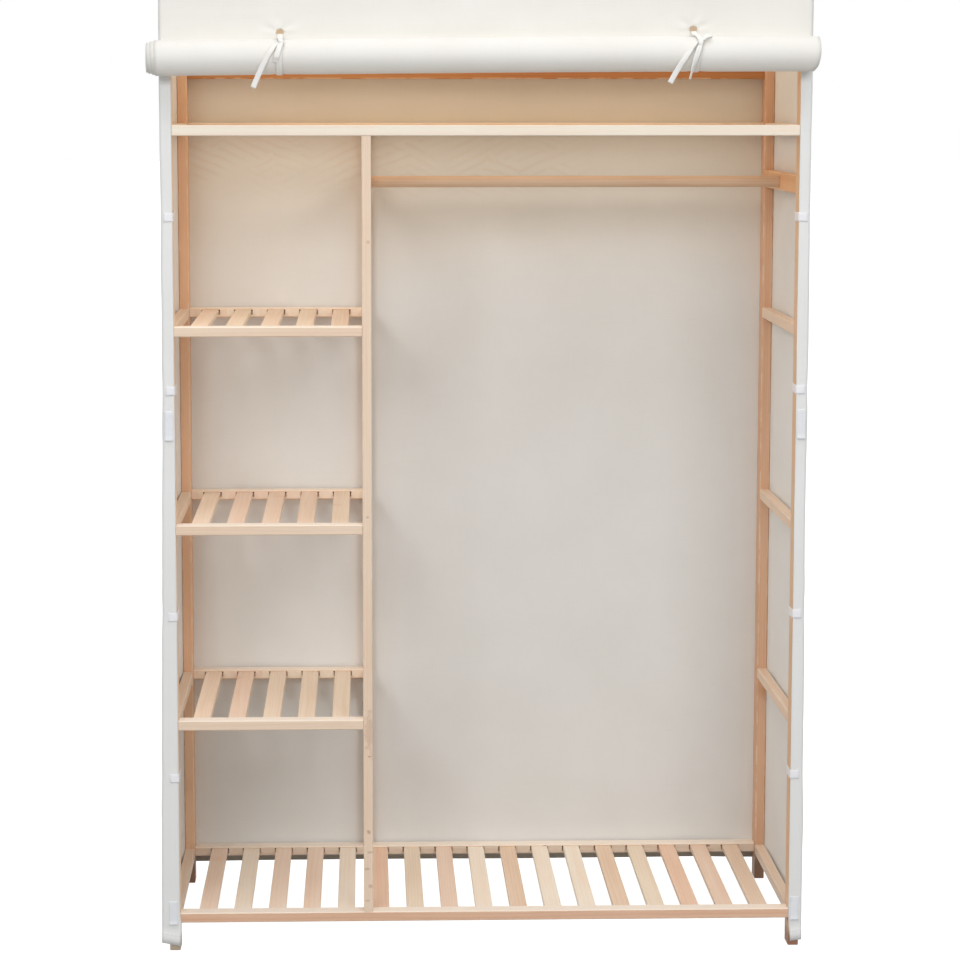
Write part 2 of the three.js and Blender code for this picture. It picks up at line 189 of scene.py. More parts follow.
SIDE_X = post_high.x + CLEARANCE + CLOTH / 2
BACK_Y = hem_low.y + CLOTH / 2
STRIP_Y = side_low.y + CLOTH / 2 + SEWN_GAP
STRIP_EDGE = side_low.x
HEADER_Y = (header_low.y + header_high.y) / 2
ROOF_Z = roof_low.z + CLOTH / 2
FRONT_HEM = side_low.z
BACK_HEM = hem_low.z
ROLL_RADIUS = (roll_high.z - roll_low.z) / 2 - ROLL_PLAY
ROLL_Y = (roll_low.y + roll_high.y) / 2
ROLL_Z = (roll_low.z + roll_high.z) / 2
DOOR_LENGTH = ROLL_Z - FRONT_HEM        # the closed door would reach down to the front hem
ROLL_TURNS = DOOR_LENGTH / (math.pi * (ROLL_RADIUS + ROLL_CORE))
EYELET_X = 0.3465               # from the wardrobe's middle to each eyelet's
EYELET_RISE = 0.010             # from the roll's top to an eyelet's middle
EYELET_Z = roll_high.z + EYELET_RISE
EYELET_SIZE = (0.014, 0.0115)   # width and height
RIM_RADIUS = 0.0008             # of the thread sewn round an eyelet
RIM_TURNS = 44


def droop(x):
    """How far the roll hangs down at a place along it."""
    return ROLL_DROOP * min(1.0, max(0.0, DROOP_END - x)) ** 1.5


def sink(x, z):
    """How far the cloth over the roll hangs down with it, less and less above the eyelets."""
    free_height = header_high.z - EYELET_Z - EYELET_SIZE[0]
    return droop(x) * min(1.0, (header_high.z - z) / free_height)


# Shader helpers
def put(tree, socket, value):
    """Links a socket to another one, or sets it to a value."""
    if isinstance(value, bpy.types.NodeSocket):
        tree.links.new(value, socket)
    elif value is not None:
        socket.default_value = value


def set_inputs(tree, node, **values):
    """Links or sets inputs of a node. A value's name is its input's, with spaces as underscores."""
    for title, value in values.items():
        put(tree, node.inputs[title.replace("_", " ")], value)


def calculate(tree, operation, *values, clamp=False):
    """The outcome of a sum with numbers or sockets."""
    node = tree.nodes.new("ShaderNodeMath")
    node.operation = operation
    node.use_clamp = clamp
    for socket, value in zip(node.inputs, values):
        put(tree, socket, value)
    return node.outputs[0]


def vectors(tree, operation, *values):
    """The same with vectors."""
    node = tree.nodes.new("ShaderNodeVectorMath")
    node.operation = operation
    for socket, value in zip(node.inputs, values):
        put(tree, socket, value)
    return node.outputs["Value" if operation in ("LENGTH", "DOT_PRODUCT", "DISTANCE") else "Vector"]


def combine(tree, x, y, z):
    node = tree.nodes.new("ShaderNodeCombineXYZ")
    for socket, value in zip(node.inputs, (x, y, z)):
        put(tree, socket, value)
    return node.outputs[0]


def separate(tree, vector):
    node = tree.nodes.new("ShaderNodeSeparateXYZ")
    put(tree, node.inputs[0], vector)
    return node.outputs[0], node.outputs[1], node.outputs[2]


def mix(tree, factor, first, second, blend="MIX"):
    node = tree.nodes.new("ShaderNodeMix")
    node.data_type = "RGBA"
    node.blend_type = blend
    put(tree, node.inputs[0], factor)
    put(tree, node.inputs[6], first)
    put(tree, node.inputs[7], second)
    return node.outputs[2]


def noise_at(tree, vector, scale=1.0, detail=2.0, roughness=0.5):
    node = tree.nodes.new("ShaderNodeTexNoise")
    set_inputs(tree, node, Vector=vector, Scale=scale, Detail=detail, Roughness=roughness)
    return node.outputs["Fac"]


def ramp(tree, value, start, end):
    """0 up to start, 1 from end on, and smooth between them."""
    node = tree.nodes.new("ShaderNodeMapRange")
    node.interpolation_type = "SMOOTHSTEP"
    set_inputs(tree, node, Value=value, From_Min=start, From_Max=end)
    return node.outputs["Result"]


def fade(tree, value, start, end):
    """1 up to start, 0 from end on, and smooth between them."""
    return calculate(tree, "SUBTRACT", 1.0, ramp(tree, value, start, end))


def new_group(name, inputs, outputs):
    """A node group with these sockets, and its input and output nodes' sockets by name."""
    tree = bpy.data.node_groups.new(name, "ShaderNodeTree")
    for title, kind, value in inputs:
        socket = tree.interface.new_socket(title, in_out="INPUT", socket_type="NodeSocket" + kind)
        if value is not None:
            socket.default_value = value
    for title, kind in outputs:
        tree.interface.new_socket(title, in_out="OUTPUT", socket_type="NodeSocket" + kind)
    entry = tree.nodes.new("NodeGroupInput")
    leave = tree.nodes.new("NodeGroupOutput")
    return tree, entry.outputs, leave.inputs


def use_group(tree, group, **values):
    """Places a group in a material, and gives its outputs."""
    node = tree.nodes.new("ShaderNodeGroup")
    node.node_tree = group
    set_inputs(tree, node, **values)
    return node.outputs


def make_pine_grain():
    """Planed pine. The vector's X runs along the board."""
    tree, given, result = new_group("pine_grain", [
        ("Vector", "Vector", None),
        ("Seed", "Float", 0.0),
        ("Early wood", "Color", (1, 1, 1, 1)),
        ("Late wood", "Color", (0.6, 0.4, 0.2, 1)),
        ("Knots", "Float", 0.4),
    ], [("Color", "Color"), ("Roughness", "Float"), ("Height", "Float")])
    seed = given["Seed"]
    shift = combine(tree, calculate(tree, "MULTIPLY", seed, 1.73),
                    calculate(tree, "MULTIPLY", seed, 0.61), calculate(tree, "MULTIPLY", seed, 0.37))
    place = vectors(tree, "ADD", given["Vector"], shift)

    # Knots are cells of a sparse pattern, each with a halo that bends the rings round it
    cells = tree.nodes.new("ShaderNodeTexVoronoi")
    set_inputs(tree, cells, Vector=place, Scale=KNOT_CELLS)
    lot = separate(tree, cells.outputs["Color"])[0]
    present = calculate(tree, "LESS_THAN", lot, given["Knots"])
    reach = calculate(tree, "DIVIDE", cells.outputs["Distance"], KNOT_CELLS)
    core = calculate(tree, "MULTIPLY", present, fade(tree, reach, *KNOT_CORE))
    halo = calculate(tree, "MULTIPLY", present, fade(tree, reach, *KNOT_HALO))

    # Growth rings round a pith that lies beside the board
    sway = noise_at(tree, vectors(tree, "MULTIPLY", place, (2.2, 15, 15)), detail=3.0)
    y, z = separate(tree, place)[1:]
    pith_y = calculate(tree, "SUBTRACT", calculate(tree, "PINGPONG", y, 0.06), 0.11)
    pith_z = calculate(tree, "ADD", calculate(tree, "PINGPONG", z, 0.05), 0.015)
    radius = vectors(tree, "LENGTH", combine(tree, 0.0, pith_y, pith_z))
    bent = calculate(tree, "ADD", calculate(tree, "MULTIPLY", sway, RING_SWAY),
                     calculate(tree, "MULTIPLY", halo, RING_BEND))
    rings = calculate(tree, "DIVIDE", calculate(tree, "ADD", radius, bent), RING_PITCH)
    part = calculate(tree, "FRACT", rings)
    late = calculate(tree, "MULTIPLY", ramp(tree, part, 0.3, 0.9), fade(tree, part, 0.93, 1.0))

    streak = noise_at(tree, vectors(tree, "MULTIPLY", place, (1.6, 70, 70)), detail=3.0)
    patch = noise_at(tree, vectors(tree, "MULTIPLY", place, (4.0, 11, 11)), detail=2.0)
    fibre = noise_at(tree, vectors(tree, "MULTIPLY", place, (35, 1300, 1300)), detail=2.0)

    amount = calculate(tree, "MULTIPLY", late, 0.26)
    amount = calculate(tree, "ADD", amount, calculate(tree, "MULTIPLY_ADD", streak, 1.2, -0.5))
    amount = calculate(tree, "ADD", amount, calculate(tree, "MULTIPLY_ADD", patch, 0.9, -0.45))
    amount = calculate(tree, "ADD", amount, calculate(tree, "MULTIPLY", halo, 0.7), clamp=True)
    wood = mix(tree, amount, given["Early wood"], given["Late wood"])
    shade = calculate(tree, "MULTIPLY_ADD", fibre, 0.11, 0.945)
    wood = mix(tree, 1.0, wood, combine(tree, shade, shade, shade), "MULTIPLY")
    put(tree, result["Color"], mix(tree, core, wood, KNOT))

    rough = calculate(tree, "MULTIPLY_ADD", fibre, 0.18, 0.46)
    polish = calculate(tree, "MULTIPLY", core, 0.12)
    put(tree, result["Roughness"], calculate(tree, "SUBTRACT", rough, polish))
    relief = calculate(tree, "MULTIPLY_ADD", late, 0.35, calculate(tree, "MULTIPLY", fibre, 0.65))
    put(tree, result["Height"], relief)
    return tree


def make_edge_wear():
    """Where the arrises of an upright box are rubbed, from its centre and its half size."""
    tree, given, result = new_group("edge_wear", [
        ("Vector", "Vector", None),
        ("Centre", "Vector", (0, 0, 0)),
        ("Half size", "Vector", (1, 1, 1)),
    ], [("Worn", "Float")])
    inside = vectors(tree, "ABSOLUTE", vectors(tree, "SUBTRACT", given["Vector"], given["Centre"]))
    a, b, c = separate(tree, vectors(tree, "SUBTRACT", given["Half size"], inside))
    least = calculate(tree, "MINIMUM", a, b)
    most = calculate(tree, "MAXIMUM", a, b)
    second = calculate(tree, "MAXIMUM", least, calculate(tree, "MINIMUM", most, c))
    near = fade(tree, second, *WORN_REACH)
    broken = ramp(tree, noise_at(tree, given["Vector"], 38.0, 3.0), 0.40, 0.62)
    put(tree, result["Worn"], calculate(tree, "MULTIPLY", near, broken))
    return tree


def make_weave():
    """Plain woven cotton. The vector's X and Y run along the threads, in metres."""
    tree, given, result = new_group("plain_weave", [
        ("Vector", "Vector", None),
        ("Thread", "Float", THREAD),
        ("Cloth", "Color", (1, 1, 1, 1)),
        ("Shade", "Color", (0.7, 0.7, 0.7, 1)),
        ("Slubs", "Float", 0.5),
    ], [("Color", "Color"), ("Height", "Float")])
    x, y = separate(tree, given["Vector"])[:2]
    waver = noise_at(tree, given["Vector"], 60.0, 2.0)
    across = calculate(tree, "DIVIDE", x, given["Thread"])
    along = calculate(tree, "DIVIDE", y, given["Thread"])
    warp = calculate(tree, "SINE", calculate(tree, "MULTIPLY_ADD", across, math.pi,
                                             calculate(tree, "MULTIPLY", waver, 3.0)))
    weft = calculate(tree, "SINE", calculate(tree, "MULTIPLY_ADD", along, math.pi,
                                             calculate(tree, "MULTIPLY", waver, 3.0)))
    crossing = calculate(tree, "MULTIPLY_ADD", calculate(tree, "MULTIPLY", warp, weft), 0.5, 0.5)
    thick_warp = noise_at(tree, vectors(tree, "MULTIPLY", given["Vector"], (900, 26, 26)), detail=1.0)
    thick_weft = noise_at(tree, vectors(tree, "MULTIPLY", given["Vector"], (26, 900, 26)), detail=1.0)
    slub = calculate(tree, "ADD", ramp(tree, thick_warp, 0.56, 0.78), ramp(tree, thick_weft, 0.56, 0.78))
    slub = calculate(tree, "MULTIPLY", slub, given["Slubs"])
    cloud = noise_at(tree, given["Vector"], 7.0, 3.0)
    tint = calculate(tree, "MULTIPLY_ADD", cloud, 0.55, -0.14)
    tint = calculate(tree, "ADD", tint, calculate(tree, "MULTIPLY", slub, 0.22))
    # The weave's low spots are painted a little darker: fine painted shade. The cloud and the slubs are the
    # cloth's own tone.
    tint = calculate(tree, "ADD", tint, calculate(tree, "MULTIPLY_ADD", crossing, -0.16, 0.08), clamp=True)
    put(tree, result["Color"], mix(tree, tint, given["Cloth"], given["Shade"]))
    put(tree, result["Height"], calculate(tree, "ADD", crossing, slub))
    return tree


def make_stitch_row():
    """A row of stitches at a height on the cloth. The vector's X runs along the row, in metres."""
    tree, given, result = new_group("stitch_row", [
        ("Vector", "Vector", None),
        ("Place", "Float", 0.0),
    ], [("Stitch", "Float")])
    x, y = separate(tree, given["Vector"])[:2]
    step = calculate(tree, "FRACT", calculate(tree, "DIVIDE", x, STITCH_LENGTH))
    lengthwise = calculate(tree, "ABSOLUTE", calculate(tree, "SUBTRACT", step, 0.5))
    dash = fade(tree, lengthwise, 0.28, 0.38)
    offset = calculate(tree, "ABSOLUTE", calculate(tree, "SUBTRACT", y, given["Place"]))
    line = fade(tree, offset, 0.0002, 0.0005)
    put(tree, result["Stitch"], calculate(tree, "MULTIPLY", dash, line))
    return tree


pine_grain = make_pine_grain()
edge_wear = make_edge_wear()
plain_weave = make_weave()
stitch_row = make_stitch_row()


def new_material(name):
    """An empty material with its shader, and its tree."""
    material = bpy.data.materials.new(name)
    material.use_nodes = True
    tree = material.node_tree
    tree.nodes.clear()
    shader = tree.nodes.new("ShaderNodeBsdfPrincipled")
    surface = tree.nodes.new("ShaderNodeOutputMaterial")
    tree.links.new(shader.outputs[0], surface.inputs["Surface"])
    return material, tree, shader


def raise_bump(tree, shader, height, distance, strength=1.0):
    bump = tree.nodes.new("ShaderNodeBump")
    set_inputs(tree, bump, Strength=strength, Distance=distance, Height=height)
    put(tree, shader.inputs["Normal"], bump.outputs[0])


def object_place(tree):
    """A place in the frame, in metres."""
    return tree.nodes.new("ShaderNodeTexCoord").outputs["Object"]


def map_place(tree):
    """A place on the piece's own map, in metres of flat cloth or tape."""
    return tree.nodes.new("ShaderNodeTexCoord").outputs["UV"]


# Pine
TONES = {
    "cream": (srgb(255, 244, 227), srgb(253, 227, 202)),
    "peach": (srgb(243, 220, 197), srgb(231, 197, 168)),
    "pink": (srgb(247, 221, 200), srgb(237, 198, 170)),
    "blush": (srgb(255, 232, 212), srgb(250, 213, 186)),
    "straw": (srgb(248, 231, 208), srgb(236, 210, 181)),
    "tan": (srgb(243, 216, 190), srgb(227, 190, 158)),
    "rose": (srgb(247, 213, 187), srgb(236, 190, 159)),
    "clay": (srgb(234, 194, 165), srgb(214, 162, 127)),
    "honey": (srgb(237, 201, 165), srgb(217, 168, 124)),
    "amber": (srgb(238, 189, 143), srgb(216, 153, 103)),
    "salmon": (srgb(241, 199, 163), srgb(229, 176, 137)),
    "ochre": (srgb(192, 131, 76), srgb(166, 99, 50)),
    "copper": (srgb(229, 186, 153), srgb(208, 155, 114)),
    "biscuit": (srgb(224, 193, 163), srgb(205, 161, 122)),
}


def board_vector(tree, place, along):
    """Turns a place so that its X runs along the board."""
    x, y, z = separate(tree, place)
    order = {"x": (x, y, z), "y": (y, z, x), "z": (z, x, y)}
    return combine(tree, *order[along])


def spots(tree, place, marks):
    """How dark a place is in soft round marks, given as (centre, half size, strength)."""
    total = 0.0
    sway = calculate(tree, "MULTIPLY_ADD", noise_at(tree, place, 160.0), 1.6, -0.8)
    for centre, half_size, strength in marks:
        away = vectors(tree, "DIVIDE", vectors(tree, "SUBTRACT", place, centre), half_size)
        reach = calculate(tree, "ADD", vectors(tree, "LENGTH", away), sway)
        near = fade(tree, reach, 0.4, 1.0)
        total = calculate(tree, "MAXIMUM", total, calculate(tree, "MULTIPLY", near, strength))
    return total


def painted_foot_shade(tree, place, reach):
    """Painted shade up a foot, from 1 on the floor to 0 at its reach, with a ragged edge."""
    height = separate(tree, place)[2]
    ragged = noise_at(tree, vectors(tree, "MULTIPLY", place, (90, 90, 14)), detail=3.0)
    lowered = calculate(tree, "SUBTRACT", height, 0.25 * reach)
    level = calculate(tree, "MULTIPLY_ADD", ragged, 0.5 * reach, lowered)
    return fade(tree, level, 0.3 * reach, reach)


def upper_face(tree, height, top):
    """1 on a board's upper face and 0 below it."""
    start, end = UPPER_EDGE
    return ramp(tree, height, top - start, top - end)


def timber(name, along, tone, seed, knots=0.25, box=None, top_light=0.0, foot=None, marks=()):
    """Pine for one board. Its box places rubbed edges and a rail's upper face, painted lighter as painted
    light from above.
    """
    material, tree, shader = new_material(name)
    place = object_place(tree)
    early, late = TONES[tone]
    grain = use_group(tree, pine_grain, Vector=board_vector(tree, place, along), Seed=seed,
                      Early_wood=early, Late_wood=late, Knots=knots)
    colour = grain["Color"]
    if box:
        low, high = box
        # A rail's upper face is painted lighter: painted light from above.
        if top_light:
            upper = upper_face(tree, separate(tree, place)[2], high.z)
            colour = mix(tree, calculate(tree, "MULTIPLY", upper, top_light), colour, PAINTED_TOP_LIGHT)
        worn = use_group(tree, edge_wear, Vector=place, Centre=(low + high) / 2, Half_size=(high - low) / 2)
        colour = mix(tree, calculate(tree, "MULTIPLY", worn["Worn"], 0.45), colour, WORN_EDGE)
    # The foot is painted darker towards the floor: painted shade.
    if foot:
        reach, painted_shade = foot
        colour = mix(tree, calculate(tree, "MULTIPLY", painted_foot_shade(tree, place, reach), 0.9), colour, painted_shade)
    # The marks are knots and flecks, and on the front posts painted shadow.
    if marks:
        colour = mix(tree, spots(tree, place, marks), colour, KNOT)
    set_inputs(tree, shader, Base_Color=colour, Roughness=grain["Roughness"])
    raise_bump(tree, shader, grain["Height"], 0.0002, 0.6)
    return material


def paint(node, material):
    slots = frame["nodes"][node].data.materials
    slots.clear()
    slots.append(material)


# The deeper, more orange tones of the back posts, the back crossbar, the top back rail, the divider's back
# post and most of all the back mid rail are painted warm shade.
BOARD_TONES = {
    "front_left_post": "peach", "front_right_post": "honey",
    "back_left_post": "salmon", "back_right_post": "copper",
    "base_front_rail": "clay", "base_back_rail": "peach",
    "front_crossbar": "cream", "back_crossbar": "honey", "back_mid_rail": "ochre",
    "top_front_rail": "peach", "top_back_rail": "honey",
    "divider_front_post": "peach", "divider_back_post": "honey",
    "left_rod_support": "honey", "right_rod_support": "amber",
}
SLAT_TONES = ("blush", "cream", "blush", "blush", "cream", "rose", "straw", "pink", "cream",
              "tan", "cream", "cream", "tan", "straw", "rose", "pink", "peach")

# Painted shade on the feet: how high it reaches, and its colour
FOOT_SHADE = {
    "front_left_post": (0.030, srgb(172, 158, 138)),
    "front_right_post": (0.045, srgb(140, 92, 68)),
    "back_left_post": (0.075, srgb(122, 88, 62)),
    "back_right_post": (0.075, srgb(122, 88, 62)),
}

# Small knots, dark flecks and painted shadows that show, as (centre, half size, strength)
MARK_DEPTH = 0.004


def marks_on_face(y, *rows):
    """Marks on a face that looks forwards, from rows of (x, z, half width, half height, strength)."""
    return [((x, y, z), (wide, MARK_DEPTH, tall), strength) for x, z, wide, tall, strength in rows]


MARKS = {
    "base_back_rail": marks_on_face(
        base_back_low.y,
        (0.1301, 0.0622, 0.0062, 0.0028, 0.75),
        (0.4421, 0.0620, 0.0052, 0.0026, 0.75)),
    "divider_front_post": marks_on_face(
        divider_low.y,
        (-0.1990, 0.3850, 0.0130, 0.0480, 0.24),
        (-0.2010, 0.3420, 0.0050, 0.0024, 0.50),
        (-0.2020, 0.2080, 0.0045, 0.0050, 0.45),
        (-0.2000, 0.1720, 0.0060, 0.0030, 0.30),
        (-0.2050, 0.1420, 0.0060, 0.0030, 0.30),
        (-0.1990, 0.1120, 0.0050, 0.0045, 0.30),
        (-0.2050, 0.0860, 0.0060, 0.0030, 0.26),
        (-0.2030, 0.7600, 0.0040, 0.0030, 0.35),
        (-0.2000, 1.2300, 0.0035, 0.0040, 0.25)),
}
# A dark mark on each front post's inner face, under the end of the base front rail, is painted shadow.
for side, name in SIDES.items():
    under_rail_shadow = (side * 0.5300, divider_low.y + 0.008, 0.0450)
    MARKS[f"front_{name}_post"] = [(under_rail_shadow, (0.0040, 0.0120, 0.0060), 0.90)]


def longest_side(low, high):
    size = high - low
    return "xyz"[max(range(3), key=lambda axis: size[axis])]


def board_tone(node):
    if node in BOARD_TONES:
        return BOARD_TONES[node]
    if node.startswith("base_slat_"):
        return SLAT_TONES[int(node[-2:]) - 1]
    return "honey" if node.endswith("_top") else "peach"


def paint_boards():
    boards = [node for node in sorted(frame["nodes"])
              if not node.startswith("cover_") and not node.endswith(("_shelf", "_tie", "_roll", "_rod"))]
    for seed, node in enumerate(boards):
        low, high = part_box(node)
        along = longest_side(low, high)
        is_slat = node.startswith("base_slat_")
        top_light = TOP_LIGHT_SHARE if along == "x" else 0.0
        knots = SLAT_KNOTS if is_slat else BOARD_KNOTS
        paint(node, timber(node + "_pine", along, board_tone(node), 0.37 * seed + 0.11, knots,
                           (low, high), top_light, FOOT_SHADE.get(node), MARKS.get(node, ())))


def shelf_pine(name, seed, middle_y, rail_reach, top_z):
    """Pine for a shelf in one piece: rails along X at the front and the back, slats along Y between."""
    material, tree, shader = new_material(name)
    place = object_place(tree)
    x, y, z = separate(tree, place)
    from_middle = calculate(tree, "SUBTRACT", y, middle_y)
    on_rail = calculate(tree, "GREATER_THAN", calculate(tree, "ABSOLUTE", from_middle), rail_reach)
    on_back = calculate(tree, "GREATER_THAN", from_middle, 0.0)

    first_cell = SHELF_SLAT_START - (SHELF_SLAT_PITCH - SLAT_WIDTH) / 2
    cell = calculate(tree, "DIVIDE", calculate(tree, "SUBTRACT", x, first_cell), SHELF_SLAT_PITCH)
    cell = calculate(tree, "FLOOR", cell)
    lot = tree.nodes.new("ShaderNodeTexWhiteNoise")
    lot.noise_dimensions = "1D"
    put(tree, lot.inputs["W"], calculate(tree, "ADD", cell, 7 * seed))
    slat_early = mix(tree, lot.outputs["Value"], TONES["straw"][0], TONES["pink"][0])
    slat_late = mix(tree, lot.outputs["Value"], TONES["straw"][1], TONES["pink"][1])
    slat = use_group(tree, pine_grain, Vector=board_vector(tree, place, "y"),
                     Seed=calculate(tree, "MULTIPLY_ADD", cell, 0.53, seed),
                     Early_wood=slat_early, Late_wood=slat_late, Knots=SLAT_KNOTS)
    # The back rail is painted a deeper amber than the front one: painted warm shade.
    rail_early = mix(tree, on_back, TONES["peach"][0], TONES["amber"][0])
    rail_late = mix(tree, on_back, TONES["peach"][1], TONES["amber"][1])
    rail = use_group(tree, pine_grain, Vector=place, Seed=calculate(tree, "ADD", on_back, seed),
                     Early_wood=rail_early, Late_wood=rail_late, Knots=RAIL_KNOTS)
    # The rails' upper faces are painted lighter: painted light from above.
    upper = calculate(tree, "MULTIPLY", upper_face(tree, z, top_z), TOP_LIGHT_SHARE)
    rail_colour = mix(tree, upper, rail["Color"], PAINTED_TOP_LIGHT)
    colour = mix(tree, on_rail, slat["Color"], rail_colour)
    rough = tree.nodes.new("ShaderNodeMix")
    for socket, value in zip((0, 2, 3), (on_rail, slat["Roughness"], rail["Roughness"])):
        put(tree, rough.inputs[socket], value)
    set_inputs(tree, shader, Base_Color=colour, Roughness=rough.outputs[0])
    raise_bump(tree, shader, slat["Height"], 0.0002, 0.6)
    return material


def paint_shelves():
    for seed, level in enumerate(("lower", "middle", "upper")):
        low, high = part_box(level + "_shelf")
        rail_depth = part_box("base_front_rail")[1].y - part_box("base_front_rail")[0].y
        reach = (high.y - low.y) / 2 - rail_depth
        middle = (low.y + high.y) / 2
        paint(level + "_shelf", shelf_pine(level + "_shelf_pine", 3.1 + seed, middle, reach, high.z))


# Sides of each slat, left or right, on which a painted shadow disc marks the end of its groove
GROOVE_SIDES = {
    "base": ("R",) + ("L",) * (BASE_SLATS - 1),
    "lower": ("R", "R", "L", "L", "L"),
    "middle": ("LR", "R", "R", "R", "LR"),
    "upper": ("R", "LR", "R", "L", "R"),
}


def slat_edges(level):
    """Where the slats of a level lie, as (left, right, top) of each."""
    if level == "base":
        boxes = [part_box(f"base_slat_{number:02}") for number in range(1, BASE_SLATS + 1)]
        return [(low.x, high.x, high.z) for low, high in boxes]
    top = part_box(level + "_shelf")[1].z - SLAT_DROP
    lefts = [SHELF_SLAT_START + slat * SHELF_SLAT_PITCH for slat in range(SHELF_SLATS)]
    return [(left, left + SLAT_WIDTH, top) for left in lefts]


def groove_end_shadows():
    """Dark discs on the back rails beside the slats: painted shadow in the round ends of the slats' grooves.
    """
    material, tree, shader = new_material("groove_shadow")
    set_inputs(tree, shader, Base_Color=GROOVE_SHADOW, Roughness=0.9)
    bm = bmesh.new()
    for level, sides in GROOVE_SIDES.items():
        for (left, right, top), shown in zip(slat_edges(level), sides):
            for x in [left - GROOVE_GAP] * ("L" in shown) + [right + GROOVE_GAP] * ("R" in shown):
                shape = Matrix.Translation((x, base_back_low.y - GROOVE_LIFT, top - GROOVE_DROP))
                shape @= Matrix.Rotation(math.pi / 2, 4, "X")
                bmesh.ops.create_circle(bm, cap_ends=True, segments=14, radius=GROOVE_RADIUS,
                                        matrix=shape)
    dress(make_piece("groove_end_shadows", bm, material), "frame", "pine")


# Cloth
CANVAS = (srgb(243, 241, 236), srgb(224, 219, 208))
# The back panel's cloth is the same cotton painted a little darker and greyer: painted shade.
SHADED_BACK_CANVAS = (srgb(237, 237, 235), srgb(218, 217, 209))
PAINTED_WARM_TOP_TINTS = (srgb(231, 225, 213), srgb(213, 205, 190))    # the inside is painted warmer towards the top: painted warm shade
# The side panels' cloth is the same cotton painted a little lighter and cooler: painted light.
LIT_SIDE_CANVAS = (srgb(243, 244, 243), srgb(230, 229, 225))


def creases(tree, place):
    """Faint slanting creases of the back panel behind the crossbars, from -1 to 1."""
    x, _, z = separate(tree, place)
    sway = calculate(tree, "MULTIPLY", noise_at(tree, place, 9.0), 9.0)
    lines = []
    for slope in (-CREASE_SLOPE, CREASE_SLOPE):
        across = calculate(tree, "MULTIPLY_ADD", x, slope, z)
        phase = calculate(tree, "MULTIPLY_ADD", across, 2 * math.pi / CREASE_PITCH, sway)
        lines.append(calculate(tree, "SINE", phase))
    rising, falling = lines
    turned = ramp(tree, noise_at(tree, place, 15.0), 0.47, 0.57)
    crease = calculate(tree, "MULTIPLY_ADD", turned, calculate(tree, "SUBTRACT", falling, rising), rising)
    patches = ramp(tree, noise_at(tree, place, 11.0), 0.34, 0.60)
    below_top = fade(tree, z, *CREASES_TOP)
    left_of_end = fade(tree, x, *CREASES_RIGHT)
    for share in (patches, ramp(tree, z, *CREASES_BOTTOM), below_top, left_of_end):
        crease = calculate(tree, "MULTIPLY", crease, share)
    return crease


def canvas(name, directions, tints=CANVAS, hem_row=None, shaded_below=None, shaded_top_tints=None):
    """Cotton for one panel. Directions say how X and Y of the weave lie, or "uv" for its own map.

    Where tints for the top are given, the cloth turns to them towards the top and has creases there, painted
    darker; both are painted shade. Below a shaded hem height the cloth is painted darker too.
    """
    material, tree, shader = new_material(name)
    coordinates = tree.nodes.new("ShaderNodeTexCoord")
    if directions == "uv":
        place = coordinates.outputs["UV"]
    else:
        sockets = dict(zip("xyz", separate(tree, coordinates.outputs["Object"])))
        place = combine(tree, *[sockets[axis] for axis in directions])
    cloth, shade = tints
    # Towards the top the cloth is painted warmer: painted warm shade.
    if shaded_top_tints is not None:
        up = separate(tree, coordinates.outputs["Object"])[2]
        painted_warmth = ramp(tree, up, *WARM_SHADE_HEIGHTS)
        cloth, shade = [mix(tree, painted_warmth, *pair) for pair in zip(tints, shaded_top_tints)]
    weave = use_group(tree, plain_weave, Vector=place, Cloth=cloth, Shade=shade, Slubs=0.5)
    colour = weave["Color"]
    height = weave["Height"]
    if hem_row is not None:
        stitch = use_group(tree, stitch_row, Vector=coordinates.outputs["UV"], Place=hem_row)["Stitch"]
        colour = mix(tree, stitch, colour, HEM_STITCH)
        height = calculate(tree, "MULTIPLY_ADD", stitch, 1.5, height)
    # The hem is painted darker towards the bottom: painted shade.
    if shaded_below is not None:
        up = separate(tree, coordinates.outputs["Object"])[2]
        painted_shade = fade(tree, up, shaded_below - HEM_SHADE_FADE, shaded_below)
        colour = mix(tree, calculate(tree, "MULTIPLY", painted_shade, 0.6), colour, HEM_PAINTED_SHADE)
    # The creases are raised, and painted darker as well: painted shade.
    if shaded_top_tints is not None:
        crease = creases(tree, coordinates.outputs["Object"])
        height = calculate(tree, "MULTIPLY_ADD", crease, CREASE_RELIEF, height)
        shaded = calculate(tree, "MULTIPLY", crease, CREASE_TINT, clamp=True)
        colour = mix(tree, shaded, colour, CREASE_PAINTED_SHADE)
    set_inputs(tree, shader, Base_Color=colour, Roughness=0.92, Sheen_Weight=0.12, Sheen_Roughness=0.5,
               Specular_IOR_Level=0.25)
    raise_bump(tree, shader, height, 0.00012, 0.5)
    return material


def tape_cotton(name, cloth, shade, thread):
    """Narrow woven tape, along its own map."""
    material, tree, shader = new_material(name)
    place = map_place(tree)
    weave = use_group(tree, plain_weave, Vector=place, Thread=thread, Cloth=cloth, Shade=shade, Slubs=0.8)
    set_inputs(tree, shader, Base_Color=weave["Color"], Roughness=0.85, Sheen_Weight=0.15,
               Specular_IOR_Level=0.3)
    raise_bump(tree, shader, weave["Height"], 0.00015, 0.6)
    return material


# Making sheets
def smooth(value):
    """A smooth step from 0 at 0 to 1 at 1."""
    value = min(1.0, max(0.0, value))
    return value * value * (3 - 2 * value)


def wave(*values):
    """Smooth noise from -1 to 1 at a point."""
    return noise.noise(Vector(values))


def lattice(stops):
    """Shares from 0 to 1 at which a sheet's rows lie. Stops are (share, steps up to it) pairs."""
    shares = [0.0]
    for share, steps in stops:
        start = shares[-1]
        shares += [start + (share - start) * (step + 1) / steps for step in range(steps)]
    return shares


